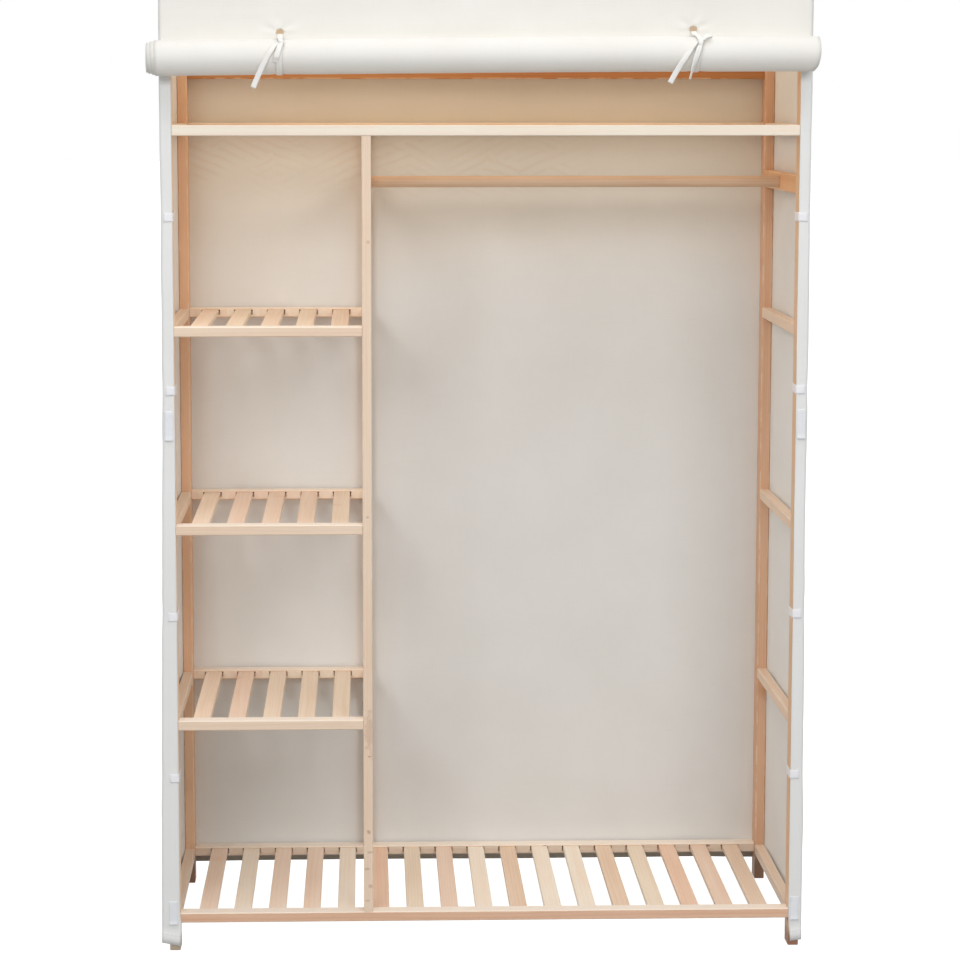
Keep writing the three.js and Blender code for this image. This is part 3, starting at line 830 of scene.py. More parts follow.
def sheet_mesh(columns, rows, place, size):
    """A grid of cloth. Place gives the point at two shares, and size is the flat cloth's, for its map."""
    bm = bmesh.new()
    bmesh.ops.create_grid(bm, x_segments=len(columns) - 1, y_segments=len(rows) - 1, size=0.5, calc_uvs=True)
    layer = bm.loops.layers.uv.verify()
    shares = {}
    for vert in bm.verts:
        column = round((vert.co.x + 0.5) * (len(columns) - 1))
        row = round((vert.co.y + 0.5) * (len(rows) - 1))
        shares[vert] = (columns[column], rows[row])
    for face in bm.faces:
        for loop in face.loops:
            share = shares[loop.vert]
            loop[layer].uv = (share[0] * size[0], share[1] * size[1])
    for vert, (across, up) in shares.items():
        vert.co = place(across, up)
    return bm, shares


def make_piece(name, bm, material):
    """An object from a bmesh, shaded smooth."""
    for face in bm.faces:
        face.smooth = True
    mesh = bpy.data.meshes.new(name)
    bm.to_mesh(mesh)
    bm.free()
    mesh.materials.append(material)
    piece = bpy.data.objects.new(name, mesh)
    scene.collection.objects.link(piece)
    return piece


def thicken(piece, thickness, layers=None):
    """Gives a sheet its thickness, equal on both sides. Layers weigh its points, where a hem is thicker."""
    solid = piece.modifiers.new("thickness", "SOLIDIFY")
    solid.thickness = thickness
    solid.offset = 0.0
    if layers:
        group = piece.vertex_groups.new(name="layers")
        for index, weight in layers.items():
            group.add([index], weight, "REPLACE")
        solid.vertex_group = "layers"


def apply_modifiers(piece):
    """Makes a piece's modifiers final in its mesh."""
    graph = bpy.context.evaluated_depsgraph_get()
    mesh = bpy.data.meshes.new_from_object(piece.evaluated_get(graph))
    piece.modifiers.clear()
    piece.data = mesh


def cloth_piece(name, columns, rows, place, size, material, hem_share=0.0):
    """A cloth panel with a doubled hem along its first rows."""
    bm, shares = sheet_mesh(columns, rows, place, size)
    bm.verts.index_update()
    single = 1 / HEM_LAYERS
    layers = {vert.index: 1.0 if share[1] <= hem_share else single for vert, share in shares.items()}
    piece = make_piece(name, bm, material)
    thicken(piece, CLOTH * HEM_LAYERS, layers)
    return piece


def dress(piece, body, slot, *nodes):
    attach(piece, body)
    if nodes:
        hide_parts(*nodes)
    return piece


# Cover
PANEL_HEIGHT = hem_high.z - BACK_HEM


def hem_rows(height, steps):
    """Rows of a panel, with two close together where its hem ends."""
    share = HEM_HEIGHT / height
    return lattice([(share, 2), (share + HEM_STEP / height, 1), (1.0, steps)]), share


def back_slack(x, z):
    """How far the back panel stands off the frame."""
    edge = smooth((post_low.x - abs(x)) / 0.12)
    top = smooth((hem_high.z - z) / 0.12)
    tall = wave(4.2 * x + 1.7, 0.55 * z, 3.1)
    slant = wave(3.0 * x - 2.1 * z, 1.3 * x + 1.0 * z, 8.4)
    small = wave(11 * x, 4.5 * z, 5.5)
    free = 0.0042 + 0.0036 * tall + 0.0030 * slant + 0.0009 * small
    hem = 0.0035 * smooth((0.20 - z) / 0.18) * wave(3.4 * x, 0.3, 1.9)
    return max(0.0, free * edge * top + hem * edge)


def back_panel():
    rows, share = hem_rows(PANEL_HEIGHT, 96)
    columns = lattice([(1.0, 84)])

    def place(across, up):
        x = (2 * across - 1) * SIDE_X
        z = BACK_HEM + up * PANEL_HEIGHT
        return Vector((x, BACK_Y + back_slack(x, z), z))

    size = (2 * SIDE_X, PANEL_HEIGHT)
    sides = [canvas(name, "xzy", SHADED_BACK_CANVAS, hem_row=HEM_HEIGHT - STITCH_INSET,
                    shaded_below=BACK_HEM + HEM_HEIGHT, shaded_top_tints=shaded_top_tints)
             for name, shaded_top_tints in (("back_panel_inside", PAINTED_WARM_TOP_TINTS), ("back_panel_outside", None))]
    piece = cloth_piece("back_panel", columns, rows, place, size, sides[0], share)
    piece.data.materials.append(sides[1])
    piece.modifiers["thickness"].material_offset = 1
    dress(piece, "frame", "canvas", "cover_back")


SIDE_DEPTH = BACK_Y - STRIP_Y
STRIP_WIDTH = SIDE_X - STRIP_EDGE
FOLD_LENGTH = FOLD_RADIUS * math.pi / 2
SIDE_LENGTH = SIDE_DEPTH - FOLD_RADIUS + FOLD_LENGTH + STRIP_WIDTH - FOLD_RADIUS
SIDE_FLAT = SIDE_DEPTH - FOLD_RADIUS
FLARES = {-1: (0.0112, 1.15), 1: (0.0040, 0.80)}    # by side: how far out, and from what height down


def side_slack(side, y, z):
    """How far a side panel stands off the frame's side."""
    back = smooth((back_low.y - y) / 0.10)
    front = smooth((y - post_high.y) / 0.08)
    top = smooth((hem_high.z - z) / 0.12)
    tall = wave(6.0 * y + 5 * side, 0.6 * z, 2.7 + side)
    slant = wave(4.0 * y - 2.0 * z, 1.5 * z, 6.1 - 3 * side)
    small = wave(12 * y, 4.5 * z, 9.3 + side)
    return max(0.0, (0.0040 + 0.0034 * tall + 0.0026 * slant + 0.0008 * small) * back * front * top)


def corner_slack(side, z):
    """How far the fold at the front post swings out between the tabs that hold it."""
    swing = 0.0012 * wave(7.0 * z, 4.4 * side, 0.7) + 0.0006 * wave(21 * z, 1.2, 3.3 * side)
    held = min(abs(z - height) for height in TAB_HEIGHTS)
    return 0.0004 + (swing + 0.0008) * smooth(held / 0.05)


def flare(side, z):
    """How far a side panel stands out at its lower front corner."""
    reach, height = FLARES[side]
    return reach * (1 - smooth(z / height))


def side_panel(side):
    rows, share = hem_rows(side_high.z - FRONT_HEM, 150)
    flat_share = SIDE_FLAT / SIDE_LENGTH
    fold_share = (SIDE_FLAT + FOLD_LENGTH) / SIDE_LENGTH
    columns = lattice([(flat_share * 0.97, 34), (flat_share, 2), (fold_share, 6), (1.0, 6)])

    def place(across, up):
        run = across * SIDE_LENGTH
        y = BACK_Y - min(run, SIDE_DEPTH)
        low = FRONT_HEM + (BACK_HEM - FRONT_HEM) * max(0.0, (y - STRIP_Y) / SIDE_DEPTH)
        z = low + up * (side_high.z - low)
        out = flare(side, z)
        swing = corner_slack(side, z)
        near_fold = smooth((STRIP_Y + 0.05 - y) / 0.05)
        if run <= SIDE_FLAT:
            out *= smooth((back_low.y - y) / (back_low.y - STRIP_Y))
            x = SIDE_X + side_slack(side, y, z) + swing * near_fold
        elif run <= SIDE_FLAT + FOLD_LENGTH:
            angle = (run - SIDE_FLAT) / FOLD_RADIUS
            x = SIDE_X - FOLD_RADIUS + FOLD_RADIUS * math.cos(angle) + swing
            y = STRIP_Y + FOLD_RADIUS - FOLD_RADIUS * math.sin(angle)
        else:
            reach = (run - SIDE_FLAT - FOLD_LENGTH) / (STRIP_WIDTH - FOLD_RADIUS)
            drift = 0.0006 * wave(6.0 * z, 8.1, side)
            if side < 0:
                drift -= 0.0030 * math.exp(-((z - 0.040) / 0.016) ** 2)
            else:
                drift += 0.0035 * smooth((0.055 - z) / 0.05)
            out *= 1 - reach
            x = SIDE_X - FOLD_RADIUS + swing * (1 - reach)
            x -= reach * (STRIP_WIDTH - FOLD_RADIUS - drift)
            y = STRIP_Y
        return Vector((side * (x + out), y, z + 0.5 * out))

    size = (SIDE_LENGTH, side_high.z - FRONT_HEM)
    name = SIDES[side]
    material = canvas(name + "_panel_canvas", "uv", LIT_SIDE_CANVAS, HEM_HEIGHT - STITCH_INSET)
    piece = cloth_piece(name + "_panel", columns, rows, place, size, material, share)
    dress(piece, "frame", "canvas", f"cover_{name}_side")


def roof():
    """The roof, which sags a little between the top rails and rungs."""
    columns = lattice([(1.0, 76)])
    rows = lattice([(1.0, 34)])
    low_y, high_y = roof_low.y, BACK_Y
    inner_y, outer_y = post_high.y, back_low.y

    def place(across, up):
        x = (2 * across - 1) * SIDE_X
        y = low_y + up * (high_y - low_y)
        free_x = smooth((post_low.x - abs(x)) / 0.16)
        free_y = smooth((y - inner_y) / 0.10) * smooth((outer_y - y) / 0.10)
        sag = 0.0085 * free_x * free_y * (1 + 0.35 * wave(3.1 * x, 2.0 * y, 0.4))
        ripple = 0.0007 * wave(14 * x, 11 * y, 2.2) * free_x * free_y
        return Vector((x, y, ROOF_Z - sag + ripple))

    size = (2 * SIDE_X, high_y - low_y)
    piece = cloth_piece("roof", columns, rows, place, size, canvas("roof_canvas", "xyz"))
    dress(piece, "frame", "canvas", "cover_roof")


def gather(x, z):
    """How the header puckers round an eyelet that a tie pulls down, forwards of its plane."""
    total = 0.0
    for side in SIDES:
        dx, dz = x - side * EYELET_X, z - EYELET_Z
        reach = math.hypot(dx, dz)
        if reach > 1e-6:
            ray = math.cos(6 * math.atan2(dz, dx) + 0.8 * side)
            total += PUCKER * ray * math.exp(-(reach / PUCKER_RADIUS - 1) ** 2)
    return total


def header_face(x, z):
    """Y of the header's cloth above the roll."""
    edge = smooth((SIDE_X - abs(x)) / 0.03)
    top = smooth((header_high.z - z) / 0.04)
    free = smooth((z - roll_high.z) / 0.02)
    ripple = 0.0007 * wave(2.6 * x, 13 * z, 4.0) + 0.0004 * wave(9 * x, 30 * z, 7.7)
    left_creases = 0.0010 * wave(5 * x, 48 * z, 2.9) * smooth((-0.22 - x) / 0.10) * smooth((z - 1.60) / 0.02)
    forward = 0.0006 + (ripple + left_creases) * top + gather(x, z)
    return HEADER_Y - forward * free * edge


def header():
    """The cloth over the roll. Its lower edge is the door, so it comes down with the roll."""
    low, high = ROLL_Z, header_high.z
    height = high - low
    start = (roll_high.z + 0.003 - low) / height
    columns = lattice([(1.0, 190)])
    rows = lattice([(start, 14), (1.0, 60)])

    def place(across, up):
        x = (2 * across - 1) * SIDE_X
        z = low + up * height
        down = 1 - smooth((z - low) / (start * height))
        behind = ROLL_Y + ROLL_RADIUS - CLOTH
        y = header_face(x, z)
        y += (behind - y) * down + 0.0003 * wave(9.0 * x, 0.4, 1.2) * down
        return Vector((x, y, z - sink(x, z)))

    size = (2 * SIDE_X, height)
    bm = sheet_mesh(columns, rows, place, size)[0]
    piece = make_piece("header", bm, canvas("header_canvas", "xzy"))
    thicken(piece, CLOTH)
    cutters = []
    for side in SIDES:
        cutter = bmesh.new()
        x = side * EYELET_X
        shape = Matrix.Translation((x, HEADER_Y, EYELET_Z - sink(x, EYELET_Z)))
        shape @= Matrix.Rotation(math.pi / 2, 4, "X")
        shape @= Matrix.Diagonal((EYELET_SIZE[0] / 2, EYELET_SIZE[1] / 2, 1, 1))
        bmesh.ops.create_cone(cutter, cap_ends=True, segments=28, radius1=1, radius2=1,
                              depth=0.02, matrix=shape)
        cutters.append(make_piece(f"eyelet_cutter_{side}", cutter, piece.data.materials[0]))
        hole = piece.modifiers.new("eyelet", "BOOLEAN")
        hole.operation = "DIFFERENCE"
        hole.object = cutters[-1]
    apply_modifiers(piece)
    for cutter in cutters:
        bpy.data.objects.remove(cutter)
    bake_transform(piece)
    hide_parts("cover_header")


# Rolled-up door
def roll_end(side, radius, angle):
    """How far each turn of the roll reaches. On the left the inner turns have slipped out past the outer."""
    share = radius / ROLL_RADIUS
    if side < 0:
        return ROLL_ENDS[side] - 0.016 * smooth((share - 0.80) / 0.20)
    height = math.sin(angle) * share
    drawn_in = 0.003 * smooth((0.1 - height) / 0.9) + 0.005 * smooth((-0.6 - height) / 0.4)
    return ROLL_ENDS[side] - 0.004 * (1 - share) - drawn_in


def roll_radius_share(x, angle):
    """How much the roll swells or draws in at a place along it and round it."""
    lumps = 0.012 * wave(2.1 * x, math.cos(angle), math.sin(angle))
    lumps += 0.005 * wave(9 * x, 2 * math.cos(angle), 2 * math.sin(angle) + 4)
    from_tie = abs(x) - EYELET_X
    pinch = math.exp(-(from_tie / 0.012) ** 2)
    crease = math.cos(2 * math.pi * from_tie / 0.006) * math.exp(-(from_tie / 0.010) ** 2)
    return 1 - 0.012 + lumps - 0.050 * pinch + 0.008 * crease


def door_roll():
    turn_gap = (ROLL_RADIUS - CLOTH / 2 - ROLL_CORE) / ROLL_TURNS
    steps = round(ROLL_TURNS * TURN_STEPS)
    rows = lattice([(1.0, steps)])
    tie = 0.5 * EYELET_X / SIDE_X
    near = 0.5 * 0.014 / SIDE_X
    columns = lattice([(0.02, 3), (0.5 - tie - near, 11), (0.5 - tie + near, 19),
                       (0.5 + tie - near, 16), (0.5 + tie + near, 19), (0.98, 11), (1.0, 3)])

    def place(across, up):
        turned = up * ROLL_TURNS
        radius = ROLL_RADIUS - CLOTH / 2 - turned * turn_gap
        angle = -2 * math.pi * turned
        side = -1 if across < 0.5 else 1
        jitter = 0.0012 * wave(turned * 1.7, 3.0 * side, 0.5)
        x = side * abs(2 * across - 1) * (roll_end(side, radius, angle) + jitter)
        share = roll_radius_share(x, angle)
        return Vector((x, ROLL_Y + share * radius * math.cos(angle),
                       ROLL_Z - droop(x) + share * radius * math.sin(angle)))

    size = (2 * SIDE_X, DOOR_LENGTH)
    bm = sheet_mesh(columns, rows, place, size)[0]
    piece = make_piece("rolled_door", bm, canvas("rolled_door_canvas", "uv"))
    thicken(piece, CLOTH)
    dress(piece, "door", "canvas", "door_roll")
    apply_modifiers(piece)
    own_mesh(piece)


# Ties
def on_roll(angle, radius):
    """Y and Z at an angle in degrees round the roll, from its back over its top."""
    turn = math.radians(angle)
    return ROLL_Y + radius * math.cos(turn), ROLL_Z + radius * math.sin(turn)


def out_of_roll(angle):
    """The direction out of the roll at that angle."""
    turn = math.radians(angle)
    return Vector((0, math.cos(turn), math.sin(turn)))


def heading(points, index):
    """The direction of a path at one of its points."""
    return (points[min(index + 1, len(points) - 1)] - points[max(index - 1, 0)]).normalized()


def path_length(points):
    return sum((end - start).length for start, end in zip(points, points[1:]))


def ribbon(name, points, facings, widths, thickness, material, curl=0.0, pleat=0.0):
    """A tape along points, facing the way that facings say, with a width at each point."""
    last = len(points) - 1
    directions = [heading(points, index) for index in range(len(points))]
    length = path_length(points)
    rows = lattice([(1.0, last)])
    columns = lattice([(1.0, 14 if pleat else 6)])

    def place(across, up):
        index = round(up * last)
        facing = (facings[index] - facings[index].project(directions[index])).normalized()
        sideways = directions[index].cross(facing)
        offset = 2 * across - 1
        crease = 0.5 - 0.5 * math.cos(3 * math.pi * offset + 0.9 * wave(3 * up, 2, 5))
        depth = curl * offset * offset + pleat * crease
        return points[index] + sideways * offset * widths[index] / 2 - facing * depth

    bm = sheet_mesh(columns, rows, place, (TAPE_WIDTH, length))[0]
    piece = make_piece(name, bm, material)
    thicken(piece, thickness)
    return piece, length


def finer(values, steps, blend):
    """Values with further ones between each two of them."""
    result = []
    for index in range(len(values) - 1):
        result += [blend(values, index, step / steps) for step in range(steps)]
    result.append(values[-1])
    return result


def curved(points, index, t):
    """A point on a smooth curve through the points, past the one at the index."""
    start, end = points[index], points[index + 1]
    before = points[max(index - 1, 0)]
    after = points[min(index + 2, len(points) - 1)]
    return 0.5 * (2 * start + (end - before) * t + (2 * before - 5 * start + 4 * end - after) * t * t
                  + (3 * start - before - 3 * end + after) * t ** 3)


def straight(values, index, t):
    """A value on the straight line between the one at the index and the next."""
    return values[index] * (1 - t) + values[index + 1] * t


def tail_path(start_x, start_angle, drop, drift, lift):
    """Points and facings of a tail: down the front of the roll from the knot, then hanging."""
    radius = ROLL_RADIUS + lift
    arc = math.radians(180 - start_angle) * radius
    total = arc + ROLL_Z - (EYELET_Z - drop)
    points = []
    facings = []
    steps = 36
    for step in range(steps + 1):
        run = total * step / steps
        x = start_x - drift * (run / total) ** 0.75
        if run <= arc:
            angle = start_angle + math.degrees(run / radius)
            y, z = on_roll(angle, radius)
            facings.append(out_of_roll(angle))
        else:
            hanging = (run - arc) / (total - arc)
            y = ROLL_Y - radius + 0.005 * smooth(hanging)
            z = ROLL_Z - (run - arc)
            facings.append(Vector((0, -1, 0.1 * hanging)))
        points.append(Vector((x, y, z)))
    return points, facings


def twist(points, facings, angles):
    """Turns each facing about the path by an angle in degrees."""
    turned = []
    last = len(points) - 1
    for index, facing in enumerate(facings):
        angle = math.radians(angles(index / last))
        turned.append(Matrix.Rotation(angle, 3, heading(points, index)) @ facing)
    return turned


def tie_loop(name, x, knot_x, knot_angle, material):
    """From behind the roll up through the eyelet, down to the knot, over the front and under the roll."""
    behind = header_high.y + TAPE
    outside = ROLL_RADIUS + 0.0002
    points = [Vector((x, behind, ROLL_Z - 0.006)), Vector((x, behind, EYELET_Z - 0.012)),
              Vector((x, HEADER_Y + 0.0004, EYELET_Z - 0.0036)),
              Vector((x + (knot_x - x) * 0.1, HEADER_Y - 0.0032, EYELET_Z - 0.0046))]
    facings = [Vector((0, 1, 0)), Vector((0, 1, 0.2)), Vector((0, 0.3, 1)), Vector((0, -0.6, 1))]
    widths = [TAPE_WIDTH, TAPE_WIDTH, TAPE_WIDTH * 0.95, TAPE_WIDTH * 0.92]
    first = 80
    for angle in range(first, 360, 10):
        before_knot = smooth((knot_angle + 14 - angle) / 14)
        y, z = on_roll(angle, outside + 0.0012 * before_knot)
        if angle <= knot_angle:
            share = 0.15 + 0.85 * (angle - first) / (knot_angle - first)
        else:
            share = 1 - smooth((angle - knot_angle) / 70)
        tight = math.exp(-((angle - knot_angle) / 26) ** 2)
        points.append(Vector((x + (knot_x - x) * share, y, z)))
        facings.append(out_of_roll(angle))
        widths.append(TAPE_WIDTH * (1 - 0.5 * tight))
    points.append(points[0].copy())
    facings.append(facings[0])
    widths.append(TAPE_WIDTH)
    return ribbon(name, finer(points, 4, curved), finer(facings, 4, straight), finer(widths, 4, straight),
                  TAPE, material, curl=0.0003, pleat=0.0007)


def knot(name, x, angle, material, lean):
    """A tape pulled tight round the crossing, one and a half turns."""
    outward = out_of_roll(angle)
    upward = Vector((0, outward.z, -outward.y))
    y, z = on_roll(angle, ROLL_RADIUS + 0.0030)
    middle = Vector((x, y, z))
    points = []
    facings = []
    widths = []
    steps = 44
    for step in range(steps + 1):
        share = step / steps
        turn = math.radians(-130 + 560 * share)
        grow = 1 + 0.16 * share
        around = upward * math.cos(turn) * 0.0058 * grow + outward * math.sin(turn) * 0.0034 * grow
        slide = (share - 0.5) * 0.0050 + lean * 0.0016 * math.cos(turn)
        points.append(middle + around + Vector((slide, 0, 0)))
        facings.append(around.normalized())
        widths.append(TAPE_WIDTH * (0.74 + 0.10 * math.sin(5 * turn)))
    return ribbon(name, points, facings, widths, TAPE, material, curl=0.0007)


def bow_loop(name, x, angle, material):
    """A small loop of the tape that stands out of the knot, up and to the right."""
    y, z = on_roll(angle - 8, ROLL_RADIUS + 0.0036)
    base = Vector((x, y, z))
    out = Vector((0.84, 0.26, 0.34)).normalized()
    lift = Vector((-0.1, -0.85, 0.45)).normalized()
    points = [base, base + out * 0.006 + lift * 0.0036, base + out * 0.014 + lift * 0.0052,
              base + out * 0.0185 + lift * 0.0034, base + out * 0.0175 + lift * 0.0006,
              base + out * 0.012 + lift * 0.0006, base + out * 0.006 + lift * 0.0003, base]
    points = finer(points, 6, curved)
    middle = base + out * 0.011 + lift * 0.0022
    facings = [(point - middle) * 60 + lift * (0.5 if index < len(points) / 2 else -0.5)
               for index, point in enumerate(points)]
    widths = [TAPE_WIDTH * (0.50 + 0.42 * math.sin(math.pi * index / (len(points) - 1)))
              for index in range(len(points))]
    return ribbon(name, points, facings, widths, TAPE, material)


def long_left(t):
    return -10 + 18 * t


def short_left(t):
    return 12 - 20 * t


def long_right(t):
    return 74 * (1 - smooth(t / 0.55)) - 4


def short_right(t):
    return -66 * smooth((t - 0.30) / 0.55)


# Each tie: how far its knot lies to the right of the eyelet, the knot's angle round the roll, and the
# tails as (name, start from the knot, drop below the eyelet, drift to the left, lift off the roll, twist)
TIES = {
    "left": (0.0030, 132, [("long", -0.0025, 0.093, 0.044, 0.0018, long_left),
                           ("short", 0.0030, 0.051, 0.012, 0.0042, short_left)]),
    "right": (0.0063, 147, [("long", -0.0040, 0.090, 0.047, 0.0020, long_right),
                            ("short", 0.0020, 0.084, 0.020, 0.0044, short_right)]),
}


def join(name, pieces, material):
    """One piece from several, each with its modifiers made final."""
    bm = bmesh.new()
    for piece in pieces:
        apply_modifiers(piece)
        bm.from_mesh(piece.data)
        bpy.data.objects.remove(piece)
    return make_piece(name, bm, material)


def make_tie(side):
    name = SIDES[side]
    shift, angle, tails = TIES[name]
    material = tape_cotton(name + "_tie_tape", srgb(248, 247, 243), srgb(226, 222, 212), 0.0006)
    x = side * EYELET_X
    knot_x = x + shift
    parts = [tie_loop("loop", x, knot_x, angle, material), knot("knot", knot_x, angle, material, side)]
    for title, start, drop, drift, lift, turns in tails:
        points, facings = tail_path(knot_x + start, angle, drop, drift, lift)
        facings = twist(points, facings, turns)
        widths = [TAPE_WIDTH * (0.50 + 0.40 * smooth(index / 8)) for index in range(len(points))]
        parts.append(ribbon(title, points, facings, widths, TAPE, material, curl=0.0004))
    if side > 0:
        parts.append(bow_loop("bow", knot_x, angle, material))
    tie = join(name + "_tie_tape", [part for part, part_length in parts], material)
    tie.data.transform(Matrix.Translation((0, 0, -sink(x, EYELET_Z))))
    dress(tie, "frame", "tape", name + "_tie")
    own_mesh(tie)


# Stitched and sewn-on details
def eyelet_rims():
    """Thread sewn round each eyelet, standing a little off the cloth."""
    material, tree, shader = new_material("eyelet_thread")
    place = map_place(tree)
    x = separate(tree, place)[0]
    strand = calculate(tree, "SINE", calculate(tree, "MULTIPLY", x, 2 * math.pi * RIM_TURNS))
    cover = calculate(tree, "MULTIPLY_ADD", strand, 0.5, 0.5)
    # The grooves between the turns of thread are painted darker: painted shade.
    colour = mix(tree, cover, srgb(222, 217, 206), srgb(246, 243, 236))
    set_inputs(tree, shader, Base_Color=colour, Roughness=0.75)
    raise_bump(tree, shader, cover, 0.0003, 0.8)
    for side in SIDES:
        bm = bmesh.new()
        bmesh.ops.create_circle(bm, segments=10, radius=RIM_RADIUS)
        bmesh.ops.scale(bm, vec=(1.0, 0.6, 1.0), verts=bm.verts)
        bmesh.ops.translate(bm, vec=(0.5 * EYELET_SIZE[0] + 0.0003, 0, 0), verts=bm.verts)
        bmesh.ops.spin(bm, geom=bm.verts[:] + bm.edges[:], cent=(0, 0, 0), axis=(0, 1, 0), dvec=(0, 0, 0),
                       angle=2 * math.pi, steps=72, use_merge=True, use_normal_flip=False)
        bmesh.ops.recalc_face_normals(bm, faces=bm.faces)
        bmesh.ops.scale(bm, vec=(1.0, 1.0, EYELET_SIZE[1] / EYELET_SIZE[0]), verts=bm.verts)
        layer = bm.loops.layers.uv.verify()
        for face in bm.faces:
            centre = face.calc_center_median()
            base = math.atan2(centre.z, centre.x)
            for loop in face.loops:
                turn = math.atan2(loop.vert.co.z, loop.vert.co.x)
                turn += 2 * math.pi * round((base - turn) / (2 * math.pi))
                loop[layer].uv = (turn / (2 * math.pi), loop.vert.co.y)
        for vert in bm.verts:
            x, z = vert.co.x + side * EYELET_X, vert.co.z + EYELET_Z
            vert.co = Vector((x, header_face(x, z) + vert.co.y * 1.6, z - sink(x, z)))
        name = SIDES[side]
        dress(make_piece(name + "_eyelet_rim", bm, material), "frame", "tape")


def seam_cord(name, points, material):
    """A narrow bound seam along points."""
    curve = bpy.data.curves.new(name, "CURVE")
    curve.dimensions = "3D"
    curve.bevel_depth = SEAM_RADIUS
    curve.bevel_resolution = 3
    curve.use_fill_caps = True
    spline = curve.splines.new("POLY")
    spline.points.add(len(points) - 1)
    for target, point in zip(spline.points, points):
        target.co = (*point, 1.0)
    curve.materials.append(material)
    piece = bpy.data.objects.new(name, curve)
    scene.collection.objects.link(piece)
    return dress(piece, "frame", "canvas")


def sewn_line(start, end, steps=60):
    """Points from one place to another, with the slight waver of a sewn edge."""
    start, end = Vector(start), Vector(end)
    points = [start.lerp(end, step / steps) for step in range(steps + 1)]
    return [point + SEAM_WAVER * noise.noise_vector(point * 23) for point in points]


def seams():
    """Bound seams round the roof and down the back corners."""
    material = canvas("seam_canvas", "xzy")
    front, back = roof_low.y + CLOTH, BACK_Y
    top = ROOF_Z
    for side, name in SIDES.items():
        x = side * SIDE_X
        seam_cord(f"{name}_roof_seam", sewn_line((x, front, top), (x, back, top)), material)
        seam_cord(f"{name}_back_seam", sewn_line((x, back, BACK_HEM), (x, back, top), 140), material)
    seam_cord("front_roof_seam", sewn_line((-SIDE_X, front, top), (SIDE_X, front, top), 120), material)
    seam_cord("back_roof_seam", sewn_line((-SIDE_X, back, top), (SIDE_X, back, top), 120), material)


def webbing():
    """White nylon tape of the tabs."""
    material, tree, shader = new_material("tab_webbing")
    place = map_place(tree)
    weave = use_group(tree, plain_weave, Vector=place, Thread=0.0007, Cloth=srgb(250, 249, 252),
                      Shade=srgb(232, 229, 236), Slubs=0.2)
    x, y = separate(tree, place)[:2]
    stitch = use_group(tree, stitch_row, Vector=combine(tree, y, x, 0.0), Place=0.0030)["Stitch"]
    colour = mix(tree, stitch, weave["Color"], srgb(200, 198, 206))
    set_inputs(tree, shader, Base_Color=colour, Roughness=0.6, Sheen_Weight=0.1)
    raise_bump(tree, shader, weave["Height"], 0.00015, 0.6)
    return material


def hook_tape(name, tall):
    """Bluish white hook-and-loop tape: a felt of tiny loops inside a plain edge with stitches."""
    material, tree, shader = new_material(name)
    place = map_place(tree)
    x, y = separate(tree, place)[:2]
    cells = tree.nodes.new("ShaderNodeTexVoronoi")
    set_inputs(tree, cells, Vector=place, Scale=LOOP_CELLS)
    fuzz = ramp(tree, cells.outputs["Distance"], 0.1, 0.7)
    inset_x = calculate(tree, "MINIMUM", x, calculate(tree, "SUBTRACT", PATCH_WIDTH, x))
    inset_y = calculate(tree, "MINIMUM", y, calculate(tree, "SUBTRACT", tall, y))
    inset = calculate(tree, "MINIMUM", inset_x, inset_y)
    field = ramp(tree, inset, 0.0012, 0.0022)
    run_length = calculate(tree, "ADD", x, y)
    along_edge = combine(tree, run_length, inset, 0.0)
    stitch = use_group(tree, stitch_row, Vector=along_edge, Place=0.0010)["Stitch"]
    felt = calculate(tree, "MULTIPLY", fuzz, field)
    colour = mix(tree, felt, srgb(252, 253, 255), srgb(242, 245, 250))
    colour = mix(tree, stitch, colour, srgb(206, 210, 220))
    set_inputs(tree, shader, Base_Color=colour, Roughness=0.8, Sheen_Weight=0.2)
    raise_bump(tree, shader, felt, 0.0004, 0.7)
    return material


TAB_MATERIAL = webbing()
PATCH_MATERIALS = [hook_tape(f"hook_and_loop_{index + 1}", tall) for index, tall in enumerate(PATCH_TALL)]


def tab(side, height):
    """A tab from the front of the strip over its edge and round the post's inner face."""
    front = STRIP_Y - CLOTH / 2 - TAB / 2 - SEWN_GAP
    inner = post_low.x - TAB / 2 - CLEARANCE
    back = post_high.y + TAB / 2 + CLEARANCE
    plan = [(post_high.x - 0.0035, front), (post_high.x - 0.0085, front - 0.0003),
            (STRIP_EDGE + 0.0016, front), (inner, front + 0.0022), (inner, front + 0.010),
            (inner, back - 0.008), (inner + 0.0002, back - 0.0014), (inner + 0.0020, back),
            (post_low.x + 0.0075, back)]
    path = finer([Vector((side * x, y, 0)) for x, y in plan], 6, curved)
    last = len(path) - 1
    columns = lattice([(1.0, last)])
    rows = lattice([(1.0, 8)])
    length = path_length(path)

    def place(across, up):
        point = path[round(across * last)].copy()
        swell = math.sin(math.pi * up)
        point.y -= 0.0005 * swell * (1 - smooth(across / 0.25))
        pull = 1 - 0.10 * math.exp(-((across - 0.22) / 0.09) ** 2)
        lean = 0.0012 * wave(across * 2.0, 9 * height, 3.0 * side)
        point.z = height + lean + (up - 0.5) * TAB_WIDTH * pull
        return point

    bm = sheet_mesh(columns, rows, place, (length, TAB_WIDTH))[0]
    name = SIDES[side]
    piece = make_piece(f"{name}_tab_{TAB_HEIGHTS.index(height) + 1}", bm, TAB_MATERIAL)
    thicken(piece, TAB)
    dress(piece, "frame", "tape")


